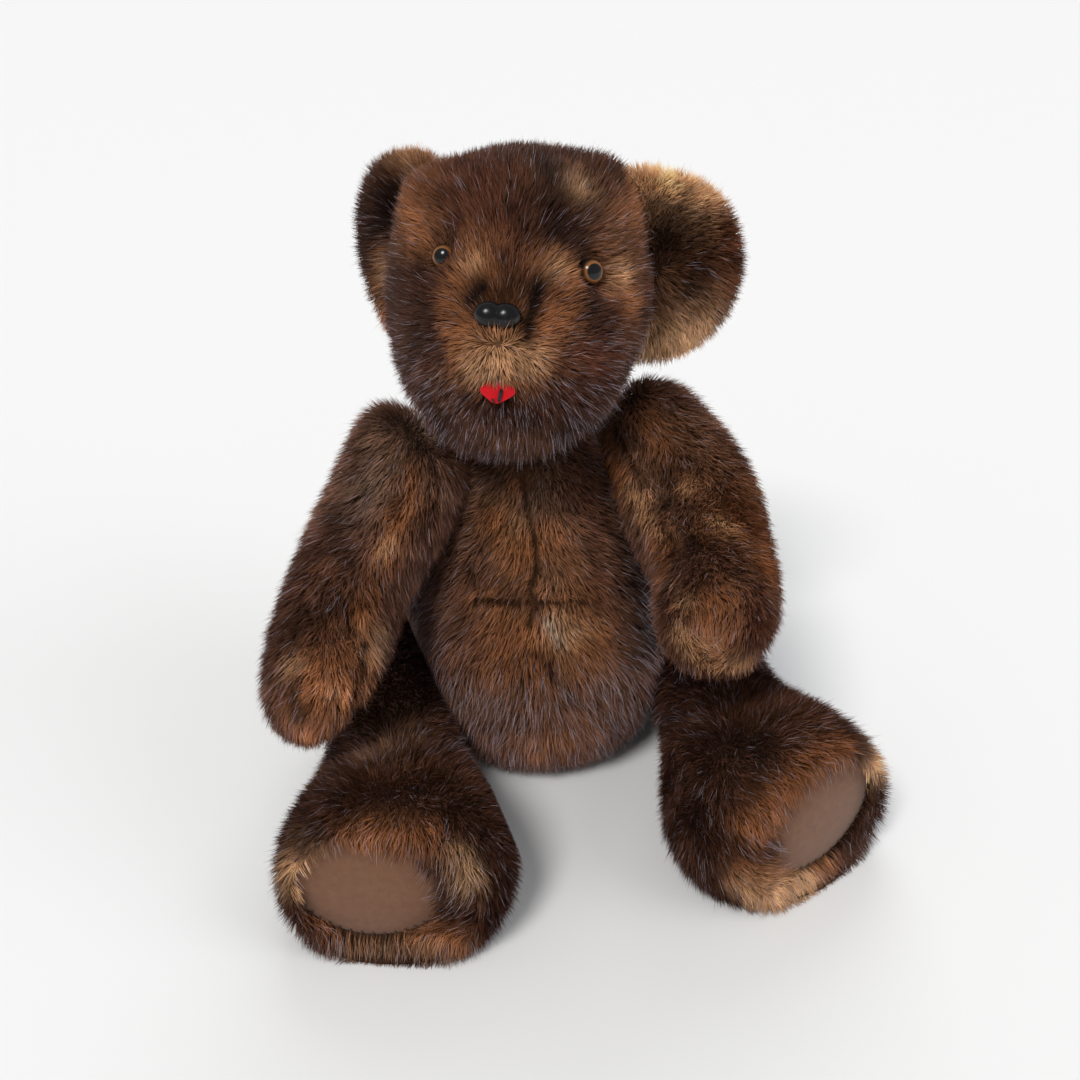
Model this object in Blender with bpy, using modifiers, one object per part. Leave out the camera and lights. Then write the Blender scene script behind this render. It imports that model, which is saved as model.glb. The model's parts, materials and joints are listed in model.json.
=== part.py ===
"""A sitting bear of dark mink: a torso, a head, two arms and two legs, each a sewn pelt over
its own stuffing, held together by five disc joints with cotter pins.

Metres, +Z up. The origin is the middle of the flat seat, on the floor. The torso faces -Y,
and the bear's own left side is +X.
"""

import math
from collections import namedtuple

import bmesh
import bpy
import numpy as np
from mathutils import Matrix, Vector
from mathutils.bvhtree import BVHTree

# Overall sizes
TORSO_HEIGHT = 0.190  # seat to the neck joint
TORSO_HALF_WIDTH = 0.0700
TORSO_HALF_DEPTH = 0.0680
TORSO_LEAN = -0.003  # sideways shift of the neck from the seat
HEAD_HALF_WIDTH = 0.0560
HEAD_HALF_HEIGHT = 0.0600
HEAD_DEPTH = 0.1440  # back of the head to the nose
ARM_LENGTH = 0.1295  # shoulder joint to the paw's tip, along the arm
ARM_HALF_WIDTH = 0.0280
LEG_LENGTH = 0.1500  # hip joint to the sole
LEG_HALF_WIDTH = 0.0320

# Pelt and stuffing
PILE_WALL = 0.0070  # leather and fur, up to the tips
SQUASHED_WALL = 0.0023  # the same pelt where a joint presses it
STUFFING_GAP = 0.0008
SEAT_GAP = 0.0003  # between pieces that touch

# Discs, washers and cotter pins
NECK_DISC_RADIUS = 0.0210
SHOULDER_DISC_RADIUS = 0.0138
HIP_DISC_RADIUS = 0.0165
DISC_THICKNESS = 0.0030
WASHER_RADIUS = 0.0075
WASHER_THICKNESS = 0.0010
WIRE_RADIUS = 0.0008
PIN_LEG_OFFSET = 0.0010  # middle of the pin to the middle of a leg
PIN_EYE_RADIUS = 0.0030
PIN_CURL_RADIUS = 0.0021
BORE_CLEARANCE = 0.0004
POCKET_CLEARANCE = 0.0006
CUT_PAST = 0.0020  # how far a cutter reaches past the surface that it opens

# Joint places on the torso and how far each side is pressed flat
SHOULDER_DROP = 0.0335  # from the neck joint down to the shoulders
SHOULDER_FORWARD = 0.011
SHOULDER_TILT = math.radians(20)  # axis turned up
SHOULDER_TOE_IN = math.radians(18)  # axis turned forward
SHOULDER_FLAT = 0.0090
HIP_HEIGHT = 0.046
HIP_FORWARD = -0.006
HIP_TILT = math.radians(-14)
HIP_TOE_IN = math.radians(8)
HIP_FLAT = 0.0110
NECK_FLAT = 0.0070

# Pose in which the bear sits
HEAD_YAW = math.radians(-16)
HEAD_PITCH = math.radians(7)
HEAD_ROLL = math.radians(5)
ARM_SWING = {"left": math.radians(32), "right": math.radians(5)}
ARM_BEND = {"left": math.radians(76), "right": math.radians(52)}
ARM_SPREAD = {"left": 0.000, "right": 0.033}  # how far the paw bends away from the body
LEG_SWING = math.radians(82)
LIFT_STEP = math.radians(1)  # an arm is lifted by such steps until it is clear of the leg
MOST_LIFTS = 60
LEG_BEND = math.radians(14)
SOLE_TURN = {"left": math.radians(25), "right": math.radians(16)}
SOLE_TIP = math.radians(4)  # upwards

# Ears, eyes, nose, mouth and foot pads, and their places on the head, from its middle
EAR_HALF_WIDTH = 0.0400
EAR_HALF_HEIGHT = 0.0450
EAR_HALF_THICKNESS = 0.0100
EAR_CUP = 0.0100
EAR_BACK = 0.006  # behind the middle of the head
EAR_NOD = math.radians(6)
EAR_OUTWARD = {"left": 0.060, "right": 0.053}
EAR_HEIGHT = {"left": 0.009, "right": 0.007}
EAR_TURN = {"left": math.radians(14), "right": math.radians(42)}
EYE_SPACING = 0.0620
EYE_HEIGHT = 0.0197
EYE_RADIUS = 0.0050
EYE_DOME = 0.0046
EYE_SINK = 0.0046  # base of the eye below the tips of the fur
EYE_TURN = math.radians(20)  # outward
NOSE_HEIGHT = 0.0046
NOSE_HALF_WIDTH = 0.0092
NOSE_HALF_HEIGHT = 0.0062
NOSE_DEPTH = 0.0085
NOSE_SINK = 0.0050
NOSE_LIFT = math.radians(22)
NOSE_DIP = 0.22  # between the two lobes, as a share of the depth
NOSE_DIP_HALF_WIDTH = 0.28  # as a share of the half width
NOSE_TAPER = 0.25  # how far the lower corners draw in
SHANK_RADIUS = 0.0017
SHANK_END = 0.0012  # what shows of a shank past its lock
EYE_RIM = 0.0008  # height of an eye's straight rim under its dome
LOCK_RADIUS = 0.0055  # the ring that locks an eye or the nose from inside
LOCK_THICKNESS = 0.0012
MOUTH_HEIGHT = -0.0231
FELT_THICKNESS = 0.0012
FELT_HALF_WIDTH = 0.0080
FELT_LENGTH = 0.0110
FELT_ROUNDING = 0.9  # depth of the round end as a share of the half width
FELT_BACK = 0.8  # half width inside the slit as a share of the half width
FELT_TUCK = 0.0040  # length of the felt inside its slit
FELT_DROOP = math.radians(38)
PAD_HALF_WIDTH = 1.03 * LEG_HALF_WIDTH
PAD_HALF_HEIGHT = 0.86 * LEG_HALF_WIDTH
PAD_HEIGHT = 1.18 * LEG_HALF_WIDTH  # middle of the pad above the floor
PAD_THICKNESS = 0.0015
PAD_SHIFT = 0.0080  # outward from the middle of the foot
SOLE_PLACE = 0.97  # from the hip, as a share of the leg's length

CAGE_SIDES = 8  # sides of a soft form's coarse cage
PRESS_ROUNDS = 4  # a point near two planes is pushed from one to the other
DISC_STEPS = 12
WASHER_STEPS = 10
EYE_STEPS = 12
PAD_SIDES = 20

Ring = namedtuple("Ring", "centre across along")  # an ellipse with two half axes
Plane = namedtuple("Plane", "point normal")
Soft = namedtuple("Soft", "name rings poles planes")  # planes press it flat
Joint = namedtuple("Joint", "name side frame disc_radius")
FLOOR = Plane(Vector((0, 0, 0)), Vector((0, 0, -1)))


def clear_scene():
    for obj in list(bpy.data.objects):
        bpy.data.objects.remove(obj, do_unlink=True)


def make_collection(name):
    collection = bpy.data.collections.new(name)
    bpy.context.scene.collection.children.link(collection)
    return collection


def material(name, colour, roughness, metallic=0.0):
    """A plain finish with the colour, roughness and metallic value of one material."""
    found = bpy.data.materials.get(name)
    if found:
        return found
    made = bpy.data.materials.new(name)
    made.use_nodes = True
    shader = made.node_tree.nodes["Principled BSDF"]
    shader.inputs["Base Color"].default_value = (*colour, 1.0)
    shader.inputs["Roughness"].default_value = roughness
    shader.inputs["Metallic"].default_value = metallic
    made.diffuse_color = (*colour, 1.0)
    return made


FINISHES = {
    "mink": ((0.070, 0.028, 0.013), 0.75, 0.0),
    "suede": ((0.160, 0.082, 0.045), 0.95, 0.0),
    "felt": ((0.560, 0.012, 0.024), 0.95, 0.0),
    "stuffing": ((0.780, 0.760, 0.700), 0.95, 0.0),
    "hardboard": ((0.270, 0.170, 0.090), 0.80, 0.0),
    "steel": ((0.560, 0.570, 0.580), 0.35, 1.0),
    "amber_eye": ((0.090, 0.032, 0.010), 0.05, 0.0),
    "nose_plastic": ((0.008, 0.008, 0.009), 0.12, 0.0),
    "washer_plastic": ((0.700, 0.690, 0.650), 0.45, 0.0),
}


def wear(obj, finish):
    obj.data.materials.clear()
    obj.data.materials.append(material(finish, *FINISHES[finish]))


def add_object(name, data, collection, parent=None, place=None):
    obj = bpy.data.objects.new(name, data)
    collection.objects.link(obj)
    obj.parent = parent
    if place is not None:
        obj.matrix_local = place
    return obj


def add_cutter(name, data, place):
    obj = add_object(name, data, CUTTERS, place=place)
    obj.hide_render = True
    obj.display_type = "WIRE"
    return obj


def evaluated_mesh(obj):
    """The object's mesh after its modifiers, as a mesh of its own."""
    bpy.context.view_layer.update()
    graph = bpy.context.evaluated_depsgraph_get()
    return bpy.data.meshes.new_from_object(obj.evaluated_get(graph))


def inset_ring(ring, inset, middle, reach):
    """The ring of the same form with its surface moved in: smaller, and nearer the middle."""
    return Ring(
        middle + (ring.centre - middle) * (1 - inset / reach),
        ring.across * (1 - inset / ring.across.length),
        ring.along * (1 - inset / ring.along.length),
    )


def soft_mesh(soft, inset=0.0):
    """A soft closed form: a ball whose rings are moved to the given ones, and then subdivided once.

    The ellipses are a little larger than their rings, because the subdivided surface runs inside
    its cage. The inset moves the whole surface in, or out if it is negative.
    """
    middle = sum((ring.centre for ring in soft.rings), Vector()) / len(soft.rings)
    reach = sum((pole - middle).length for pole in soft.poles) / 2
    rings = [inset_ring(ring, inset, middle, reach) for ring in soft.rings]
    poles = [middle + (pole - middle) * (1 - inset / reach) for pole in soft.poles]
    swell = 3 / (2 + math.cos(2 * math.pi / CAGE_SIDES))
    cage = bmesh.new()
    bmesh.ops.create_uvsphere(cage, u_segments=CAGE_SIDES, v_segments=len(rings) + 1, radius=1)
    for vertex in cage.verts:
        x, y, z = vertex.co
        polar = math.acos(max(-1.0, min(1.0, z)))
        index = round(polar / math.pi * (len(rings) + 1))
        if index == 0:
            vertex.co = poles[0]
        elif index == len(rings) + 1:
            vertex.co = poles[1]
        else:
            ring = rings[index - 1]
            angle = math.atan2(y, x)
            vertex.co = ring.centre + swell * (
                ring.across * math.cos(angle) + ring.along * math.sin(angle)
            )
    cage.normal_update()
    bmesh.ops.recalc_face_normals(cage, faces=cage.faces)
    mesh = bpy.data.meshes.new(soft.name + "_cage")
    cage.to_mesh(mesh)
    cage.free()
    obj = add_object(soft.name + "_cage", mesh, CUTTERS)
    smooth = obj.modifiers.new("Soft", "SUBSURF")
    smooth.levels = smooth.render_levels = 1
    form = evaluated_mesh(obj)
    bpy.data.objects.remove(obj, do_unlink=True)
    press_flat(form, soft.planes, inset)
    split_into_triangles(form)
    smooth_shading(form)
    return form


def split_into_triangles(mesh):
    """Each bent four-sided face is split along the same corners, so that every cut sees one surface."""
    form = bmesh.new()
    form.from_mesh(mesh)
    bmesh.ops.triangulate(form, faces=form.faces, quad_method="FIXED")
    form.to_mesh(mesh)
    form.free()


def press_flat(mesh, planes, inset):
    """Moves what lies beyond each plane back onto it, as a floor or a joint flattens a soft form."""
    points = np.empty(len(mesh.vertices) * 3)
    mesh.vertices.foreach_get("co", points)
    points = points.reshape(-1, 3)
    for plane in list(planes) * PRESS_ROUNDS:
        normal = np.array(plane.normal.normalized())
        beyond = (points - np.array(plane.point)) @ normal + inset
        points -= np.maximum(beyond, 0)[:, None] * normal
    mesh.vertices.foreach_set("co", points.ravel())
    mesh.update()


def surface_tree(mesh, place=Matrix.Identity(4)):
    """The mesh's surface at its place, for finding points on it and what meets it."""
    points = [place @ vertex.co for vertex in mesh.vertices]
    faces = [tuple(polygon.vertices) for polygon in mesh.polygons]
    return BVHTree.FromPolygons(points, faces)


def cut_with(obj, cutters):
    for cutter in cutters:
        cut = obj.modifiers.new("Cut " + cutter.name, "BOOLEAN")
        cut.operation = "DIFFERENCE"
        cut.solver = "EXACT"
        cut.object = cutter


def smooth_shading(mesh, sharp_angle=math.radians(40)):
    mesh.shade_smooth()
    mesh.set_sharp_from_angle(angle=sharp_angle)


def pelt_and_stuffing(soft, parent, pelt_cutters, stuffing_cutters):
    """The sewn pelt, a wall inside the form's surface, and the stuffing that fills it."""
    pelt = add_object(soft.name + "_pelt", soft_mesh(soft), PARTS, parent)
    lining = add_cutter(soft.name + "_lining", soft_mesh(soft, PILE_WALL), parent.matrix_world)
    cut_with(pelt, [lining, *pelt_cutters])
    wear(pelt, "mink")
    core = soft_mesh(soft, PILE_WALL + STUFFING_GAP)
    stuffing = add_object(soft.name + "_stuffing", core, PARTS, parent)
    cut_with(stuffing, stuffing_cutters)
    wear(stuffing, "stuffing")


def turned(name, profile, collection, parent=None, place=None, steps=DISC_STEPS, closed=False):
    """A turned piece: the profile of (radius, height) points, carried round the Z axis."""
    mesh = bpy.data.meshes.new(name)
    edges = [(i, i + 1) for i in range(len(profile) - 1)]
    if closed:
        edges.append((len(profile) - 1, 0))
    mesh.from_pydata([(radius, 0, height) for radius, height in profile], edges, [])
    obj = add_object(name, mesh, collection, parent, place)
    screw = obj.modifiers.new("Turned", "SCREW")
    screw.steps = screw.render_steps = steps
    screw.use_merge_vertices = True
    screw.merge_threshold = 0.00001
    screw.use_smooth_shade = True
    return obj


def ring_piece(name, outer, bore, bottom, top, parent, place, steps=DISC_STEPS):
    """A flat round piece with a hole, such as a disc or a washer."""
    profile = [(bore, top), (outer, top), (outer, bottom), (bore, bottom)]
    return turned(name, profile, PARTS, parent, place, steps, closed=True)


# The stack of each disc joint, as heights from the joint's plane into the limb. The torso's side
# is the same stack the other way round.
DISC_BOTTOM = SEAT_GAP / 2 + SQUASHED_WALL + SEAT_GAP
DISC_TOP = DISC_BOTTOM + DISC_THICKNESS
WASHER_BOTTOM = DISC_TOP + SEAT_GAP
WASHER_TOP = WASHER_BOTTOM + WASHER_THICKNESS
PIN_EYE_BOTTOM = WASHER_TOP + SEAT_GAP + WIRE_RADIUS
PIN_EYE_TOP = PIN_EYE_BOTTOM + 2 * PIN_EYE_RADIUS + WIRE_RADIUS
PIN_CURL_START = WASHER_TOP + SEAT_GAP
PIN_CURL_TOP = PIN_CURL_START + PIN_CURL_RADIUS + WIRE_RADIUS
PIN_BORE = PIN_LEG_OFFSET + WIRE_RADIUS + BORE_CLEARANCE
EYE_POCKET_RADIUS = PIN_EYE_RADIUS + WIRE_RADIUS + POCKET_CLEARANCE
CURL_POCKET_RADIUS = PIN_LEG_OFFSET + 2 * PIN_CURL_RADIUS + WIRE_RADIUS + POCKET_CLEARANCE
ALONG_AXIS = Matrix.Rotation(math.radians(90), 4, "Y")  # takes a turned piece's Z to the joint's X


def joint_frame(centre, outward):
    """A frame at the joint: X along its axis into the limb, and Z up in its plane."""
    x_axis = outward.normalized()
    up = Vector((0, 0, 1)) if abs(x_axis.z) < 0.9 else Vector((0, 1, 0))
    y_axis = up.cross(x_axis).normalized()
    z_axis = x_axis.cross(y_axis)
    frame = Matrix((x_axis, y_axis, z_axis)).transposed().to_4x4()
    frame.translation = centre
    return frame


def joint_plane(joint, inset):
    """The joint's plane as a limit for the torso, or with a negative inset for the limb."""
    axis = joint.frame.to_3x3().col[0]
    point = joint.frame.translation - axis * inset
    return Plane(point, axis if inset > 0 else -axis)


def joint_void(joint, limb_side):
    """A cutter with the room that one side of a disc joint takes: bore, disc, washer and pocket."""
    pocket = EYE_POCKET_RADIUS if limb_side else CURL_POCKET_RADIUS
    deepest = (PIN_EYE_TOP if limb_side else PIN_CURL_TOP) + POCKET_CLEARANCE
    recess = joint.disc_radius + POCKET_CLEARANCE
    washer_room = WASHER_TOP + SEAT_GAP
    floor = DISC_BOTTOM - SEAT_GAP
    profile = [
        (0, deepest),
        (pocket, deepest),
        (pocket, washer_room),
        (recess, washer_room),
        (recess, floor),
        (PIN_BORE, floor),
        (PIN_BORE, -CUT_PAST),
        (0, -CUT_PAST),
    ]
    side = "limb" if limb_side else "torso"
    turn = Matrix.Identity(4) if limb_side else Matrix.Rotation(math.pi, 4, "Y")
    place = joint.frame @ turn @ ALONG_AXIS
    data = turned(joint.name + "_" + side + "_void_profile", profile, CUTTERS)
    mesh = evaluated_mesh(data)
    bpy.data.objects.remove(data, do_unlink=True)
    return add_cutter(f"{joint.name}_{side}_void", mesh, place)


def pin_points():
    """The cotter pin's middle line: one curl, a leg, the eye, the other leg and its curl.

    Each curl is half a turn away from the middle and back towards the washer. The eye is a circle
    left open where the legs meet it.
    """
    curl = []
    for turn in np.linspace(2 * math.pi, math.pi, 6):
        across = PIN_LEG_OFFSET + PIN_CURL_RADIUS * (1 + math.cos(turn))
        curl.append((across, -PIN_CURL_START + PIN_CURL_RADIUS * math.sin(turn)))
    opening = math.asin(PIN_LEG_OFFSET / PIN_EYE_RADIUS)
    middle = PIN_EYE_BOTTOM + PIN_EYE_RADIUS * math.cos(opening)
    eye = []
    for turn in np.linspace(opening, 2 * math.pi - opening, 9):
        eye.append((PIN_EYE_RADIUS * math.sin(turn), middle - PIN_EYE_RADIUS * math.cos(turn)))
    other_curl = [(-across, height) for across, height in reversed(curl)]
    return curl + eye + other_curl


def cotter_pin(joint, parent, place):
    curve = bpy.data.curves.new(joint.name + "_pin", "CURVE")
    curve.dimensions = "3D"
    curve.bevel_depth = WIRE_RADIUS
    curve.bevel_resolution = 1
    curve.use_fill_caps = True
    spline = curve.splines.new("POLY")
    points = pin_points()
    spline.points.add(len(points) - 1)
    for point, (across, height) in zip(spline.points, points):
        point.co = (0, across, height, 1)
    pin = add_object(joint.name + "_pin", curve, PARTS, parent, place)
    wear(pin, "steel")
    return pin


def disc_joint_hardware(joint, limb_empty, torso_empty):
    """Both discs and washers and the cotter pin of one joint. The pin turns with the limb."""
    inward = Matrix.Rotation(math.pi, 4, "Y")
    sides = (("limb", limb_empty, Matrix.Identity(4)), ("torso", torso_empty, inward))
    for side, parent, turn in sides:
        local = parent.matrix_world.inverted() @ joint.frame @ turn @ ALONG_AXIS
        disc = ring_piece(
            f"{joint.name}_disc_{side}", joint.disc_radius, PIN_BORE, DISC_BOTTOM, DISC_TOP,
            parent, local,
        )
        wear(disc, "hardboard")
        washer = ring_piece(
            f"{joint.name}_washer_{side}", WASHER_RADIUS, PIN_BORE, WASHER_BOTTOM, WASHER_TOP,
            parent, local, steps=WASHER_STEPS,
        )
        wear(washer, "steel")
    local = limb_empty.matrix_world.inverted() @ joint.frame @ ALONG_AXIS
    cotter_pin(joint, limb_empty, local)


def torso_centre(height):
    """The middle of the torso at a height: it leans a little to one side."""
    return Vector((TORSO_LEAN * height / TORSO_HEIGHT, 0, height))


# The torso's outline: height, half width and half depth, as shares of its three sizes
TORSO_OUTLINE = (
    (-0.02, 0.60, 0.64),
    (0.09, 0.88, 0.90),
    (0.25, 1.00, 1.00),
    (0.44, 1.00, 0.99),
    (0.62, 0.90, 0.88),
    (0.79, 0.72, 0.73),
    (0.93, 0.56, 0.58),
    (1.03, 0.32, 0.34),
)


def torso_half_width(height):
    shares = np.array(TORSO_OUTLINE)
    return TORSO_HALF_WIDTH * np.interp(height / TORSO_HEIGHT, shares[:, 0], shares[:, 1])


def side_joint(name, side, height, forward, tilt, toe_in, flat, disc_radius):
    """A shoulder or a hip on the torso's side, as deep in it as the joint presses it flat."""
    half_width = torso_half_width(height) - flat
    centre = torso_centre(height) + Vector((side * half_width, -forward, 0))
    outward = Vector((
        side * math.cos(tilt) * math.cos(toe_in),
        -math.cos(tilt) * math.sin(toe_in),
        math.sin(tilt),
    ))
    return Joint(name, side, joint_frame(centre, outward), disc_radius)


def make_joints():
    neck_frame = joint_frame(torso_centre(TORSO_HEIGHT), Vector((0, 0, 1)))
    joints = {"neck": Joint("neck", 1, neck_frame, NECK_DISC_RADIUS)}
    for side, word in ((1, "left"), (-1, "right")):
        joints["shoulder_" + word] = side_joint(
            "shoulder_" + word, side, TORSO_HEIGHT - SHOULDER_DROP, SHOULDER_FORWARD,
            SHOULDER_TILT, SHOULDER_TOE_IN, SHOULDER_FLAT, SHOULDER_DISC_RADIUS,
        )
        joints["hip_" + word] = side_joint(
            "hip_" + word, side, HIP_HEIGHT, HIP_FORWARD, HIP_TILT, HIP_TOE_IN, HIP_FLAT,
            HIP_DISC_RADIUS,
        )
    return joints


def make_torso(joints, empty):
    rings = [
        Ring(
            torso_centre(height * TORSO_HEIGHT),
            Vector((width * TORSO_HALF_WIDTH, 0, 0)),
            Vector((0, depth * TORSO_HALF_DEPTH, 0)),
        )
        for height, width, depth in reversed(TORSO_OUTLINE)
    ]
    poles = [torso_centre(TORSO_HEIGHT * 1.06), torso_centre(-TORSO_HEIGHT * 0.06)]
    planes = [joint_plane(joint, SEAT_GAP / 2) for joint in joints.values()]
    soft = Soft("torso", rings, poles, [*planes, FLOOR])
    voids = [joint_void(joint, False) for joint in joints.values()]
    pelt_and_stuffing(soft, empty, voids, voids)


# An arm and a leg: place along the limb from its joint as a share of its length, then the shift
# away from the joint, the half width across and the half width along it, as shares of the limb's.
ARM_OUTLINE = (
    (-0.140, 0.58, 0.76, 0.80),
    (-0.050, 0.72, 1.00, 1.00),
    (0.170, 0.96, 1.10, 1.06),
    (0.430, 1.24, 1.03, 1.03),
    (0.730, 1.32, 1.05, 1.05),
    (0.915, 1.30, 0.78, 0.82),
)
ARM_POLES = ((-0.178, 0.58), (0.985, 1.28))
LEG_OUTLINE = (
    (-0.165, 0.64, 0.72, 0.72),
    (-0.070, 0.72, 0.98, 0.98),
    (0.160, 0.80, 1.00, 0.96),
    (0.430, 1.10, 0.94, 0.86),
    (0.610, 1.28, 1.34, 1.22),
    (0.780, 1.42, 1.68, 1.56),
    (0.960, 1.64, 1.60, 1.52),
    (1.080, 1.80, 0.90, 0.90),
)
LEG_POLES = ((-0.215, 0.66), (1.110, 1.84))


def soft_limb(name, joint, outline, poles, length, half_width, swing, bend, spread, planes):
    """A limb's soft form in its joint's frame, swung forward from hanging straight down.

    Its middle line is straight above the joint and an arc below it, which turns forward by the
    bend over the limb's length. Towards the end it also moves out by the spread. Each ring is
    square to the line.
    """

    def place(share, outward):
        angle = max(share, 0) * bend
        radius = length / bend
        down = radius * math.sin(angle) if share > 0 else share * length
        forward = radius * (1 - math.cos(angle))
        across = outward * half_width + spread * max(share, 0) ** 1.4
        return Vector((across, -joint.side * forward, -down))

    turn = Matrix.Rotation(-joint.side * swing, 3, "X")
    centres = [place(*row[:2]) for row in outline]
    ends = [place(*pole) for pole in poles]
    chain = [ends[0], *centres, ends[1]]
    rings = []
    for index, row in enumerate(outline):
        tangent = (chain[index + 2] - chain[index]).normalized()
        across = Vector((1, 0, 0))
        across = (across - tangent * across.dot(tangent)).normalized()
        along = tangent.cross(across)
        rings.append(
            Ring(
                turn @ centres[index],
                turn @ (across * row[2] * half_width),
                turn @ (along * row[3] * half_width),
            )
        )
    return Soft(name, rings, [turn @ end for end in ends], planes_in(joint.frame, planes))


def planes_in(frame, planes):
    to_local = frame.inverted()
    return [Plane(to_local @ plane.point, to_local.to_3x3() @ plane.normal) for plane in planes]


def limb_empty(joint):
    empty = add_object(joint.name + "_axis", None, PARTS, place=joint.frame)
    bpy.context.view_layer.update()
    return empty


def soft_arm(word, joint, lift):
    return soft_limb(
        "arm_" + word, joint, ARM_OUTLINE, ARM_POLES, ARM_LENGTH, ARM_HALF_WIDTH,
        ARM_SWING[word] + lift, ARM_BEND[word], ARM_SPREAD[word],
        [joint_plane(joint, -SEAT_GAP / 2), FLOOR],
    )


def make_arm(word, joint, leg_surface, torso_empty):
    """An arm at its own swing, or lifted from there until the paw rests clear of the leg."""
    empty = limb_empty(joint)
    for step in range(MOST_LIFTS):
        soft = soft_arm(word, joint, step * LIFT_STEP)
        if not surface_tree(soft_mesh(soft), joint.frame).overlap(leg_surface):
            break
    voids = [joint_void(joint, True)]
    pelt_and_stuffing(soft, empty, voids, voids)
    disc_joint_hardware(joint, empty, torso_empty)


def sole_frame(joint, turn):
    """A frame on the sole: Z out of it and Y up it."""
    axis = joint.frame.to_3x3()
    forward = axis.col[0].cross(Vector((0, 0, 1))) * joint.side
    forward.z = 0
    forward.normalize()
    outward_shift = LEG_OUTLINE[-2][1] * LEG_HALF_WIDTH + PAD_SHIFT
    middle = joint.frame.translation + axis.col[0] * outward_shift
    middle += forward * LEG_LENGTH * SOLE_PLACE
    middle.z = PAD_HEIGHT
    heading = math.atan2(joint.side * math.sin(turn), math.cos(turn))
    normal = Vector((math.sin(heading), -math.cos(heading), math.tan(SOLE_TIP))).normalized()
    right = Vector((0, 0, 1)).cross(normal).normalized()
    up = normal.cross(right)
    frame = Matrix((right, up, normal)).transposed().to_4x4()
    frame.translation = middle
    return frame


def make_leg(word, joint, torso_empty):
    """A leg with its foot pad. It returns the leg's surface, which the arm has to clear."""
    empty = limb_empty(joint)
    sole = sole_frame(joint, SOLE_TURN[word])
    soft = soft_limb(
        "leg_" + word, joint, LEG_OUTLINE, LEG_POLES, LEG_LENGTH, LEG_HALF_WIDTH,
        LEG_SWING, LEG_BEND, 0,
        [joint_plane(joint, -SEAT_GAP / 2), FLOOR, Plane(sole.translation, sole.to_3x3().col[2])],
    )
    voids = [joint_void(joint, True)]
    opening = oval(f"pad_{word}_opening", PAD_HALF_WIDTH, PAD_HALF_HEIGHT, PILE_WALL * 3, sole)
    pelt_and_stuffing(soft, empty, voids + [opening], voids)
    drop = PILE_WALL + STUFFING_GAP - SEAT_GAP - PAD_THICKNESS / 2
    pad_place = sole @ Matrix.Translation((0, 0, -drop))
    pad = oval(
        f"pad_{word}_blank", PAD_HALF_WIDTH - SEAT_GAP, PAD_HALF_HEIGHT - SEAT_GAP,
        PAD_THICKNESS, pad_place,
    )
    place = empty.matrix_world.inverted() @ pad_place
    pad_object = add_object("foot_pad_" + word, pad.data, PARTS, empty, place)
    wear(pad_object, "suede")
    bpy.data.objects.remove(pad, do_unlink=True)
    disc_joint_hardware(joint, empty, torso_empty)
    return surface_tree(soft_mesh(soft, -SEAT_GAP), joint.frame)


def oval(name, half_width, half_height, thickness, place):
    """A flat oval plate across the Z axis of its place."""
    form = bmesh.new()
    bmesh.ops.create_cone(
        form, cap_ends=True, segments=PAD_SIDES, radius1=1, radius2=1, depth=thickness,
    )
    bmesh.ops.scale(form, vec=(half_width, half_height, 1), verts=form.verts)
    mesh = bpy.data.meshes.new(name)
    form.to_mesh(mesh)
    form.free()
    return add_cutter(name, mesh, place)


# The head from its back to its nose: place, height of the middle, half width, half height
HEAD_OUTLINE = (
    (0.035, 0.00, 0.48, 0.54),
    (0.130, -0.02, 0.82, 0.87),
    (0.290, -0.02, 1.00, 1.00),
    (0.480, -0.05, 1.03, 1.01),
    (0.640, -0.14, 0.92, 0.96),
    (0.780, -0.27, 0.68, 0.78),
    (0.890, -0.33, 0.46, 0.54),
    (0.965, -0.32, 0.28, 0.32),
)


def head_frame(neck):
    """The head's own frame at its middle: -Y towards the face. It is turned, lifted and tipped."""
    turn = (
        Matrix.Rotation(HEAD_YAW, 4, "Z")
        @ Matrix.Rotation(-HEAD_PITCH, 4, "X")
        @ Matrix.Rotation(HEAD_ROLL, 4, "Y")
    )
    middle = neck.frame.translation + Vector((0, 0, HEAD_HALF_HEIGHT - NECK_FLAT))
    return Matrix.Translation(middle) @ turn


def make_head(neck, torso_empty):
    empty = limb_empty(neck)
    frame = neck.frame.inverted() @ head_frame(neck)
    turn = frame.to_3x3()

    def place(share, height):
        y = HEAD_DEPTH * (0.375 - share)
        return frame @ Vector((0, y, height * HEAD_HALF_HEIGHT))

    rings = [
        Ring(
            place(share, height),
            turn @ Vector((width * HEAD_HALF_WIDTH, 0, 0)),
            turn @ Vector((0, 0, tall * HEAD_HALF_HEIGHT)),
        )
        for share, height, width, tall in HEAD_OUTLINE
    ]
    planes = planes_in(neck.frame, [joint_plane(neck, -SEAT_GAP / 2)])
    soft = Soft("head", rings, [place(0.0, 0.0), place(1.0, -0.32)], planes)
    face = Face(soft_mesh(soft), frame, neck.frame, empty)
    neck_void = joint_void(neck, True)
    locked_voids = make_eyes(face) + [make_nose(face)]
    slit = make_mouth(face)
    ear_limit = add_cutter("ear_limit", soft_mesh(soft, -SEAT_GAP), neck.frame)
    pelt_and_stuffing(soft, empty, [neck_void, *locked_voids, slit], [neck_void, *locked_voids])
    disc_joint_hardware(neck, empty, torso_empty)
    for side, word in ((1, "left"), (-1, "right")):
        make_ear(word, side, empty, frame, ear_limit)


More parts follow.
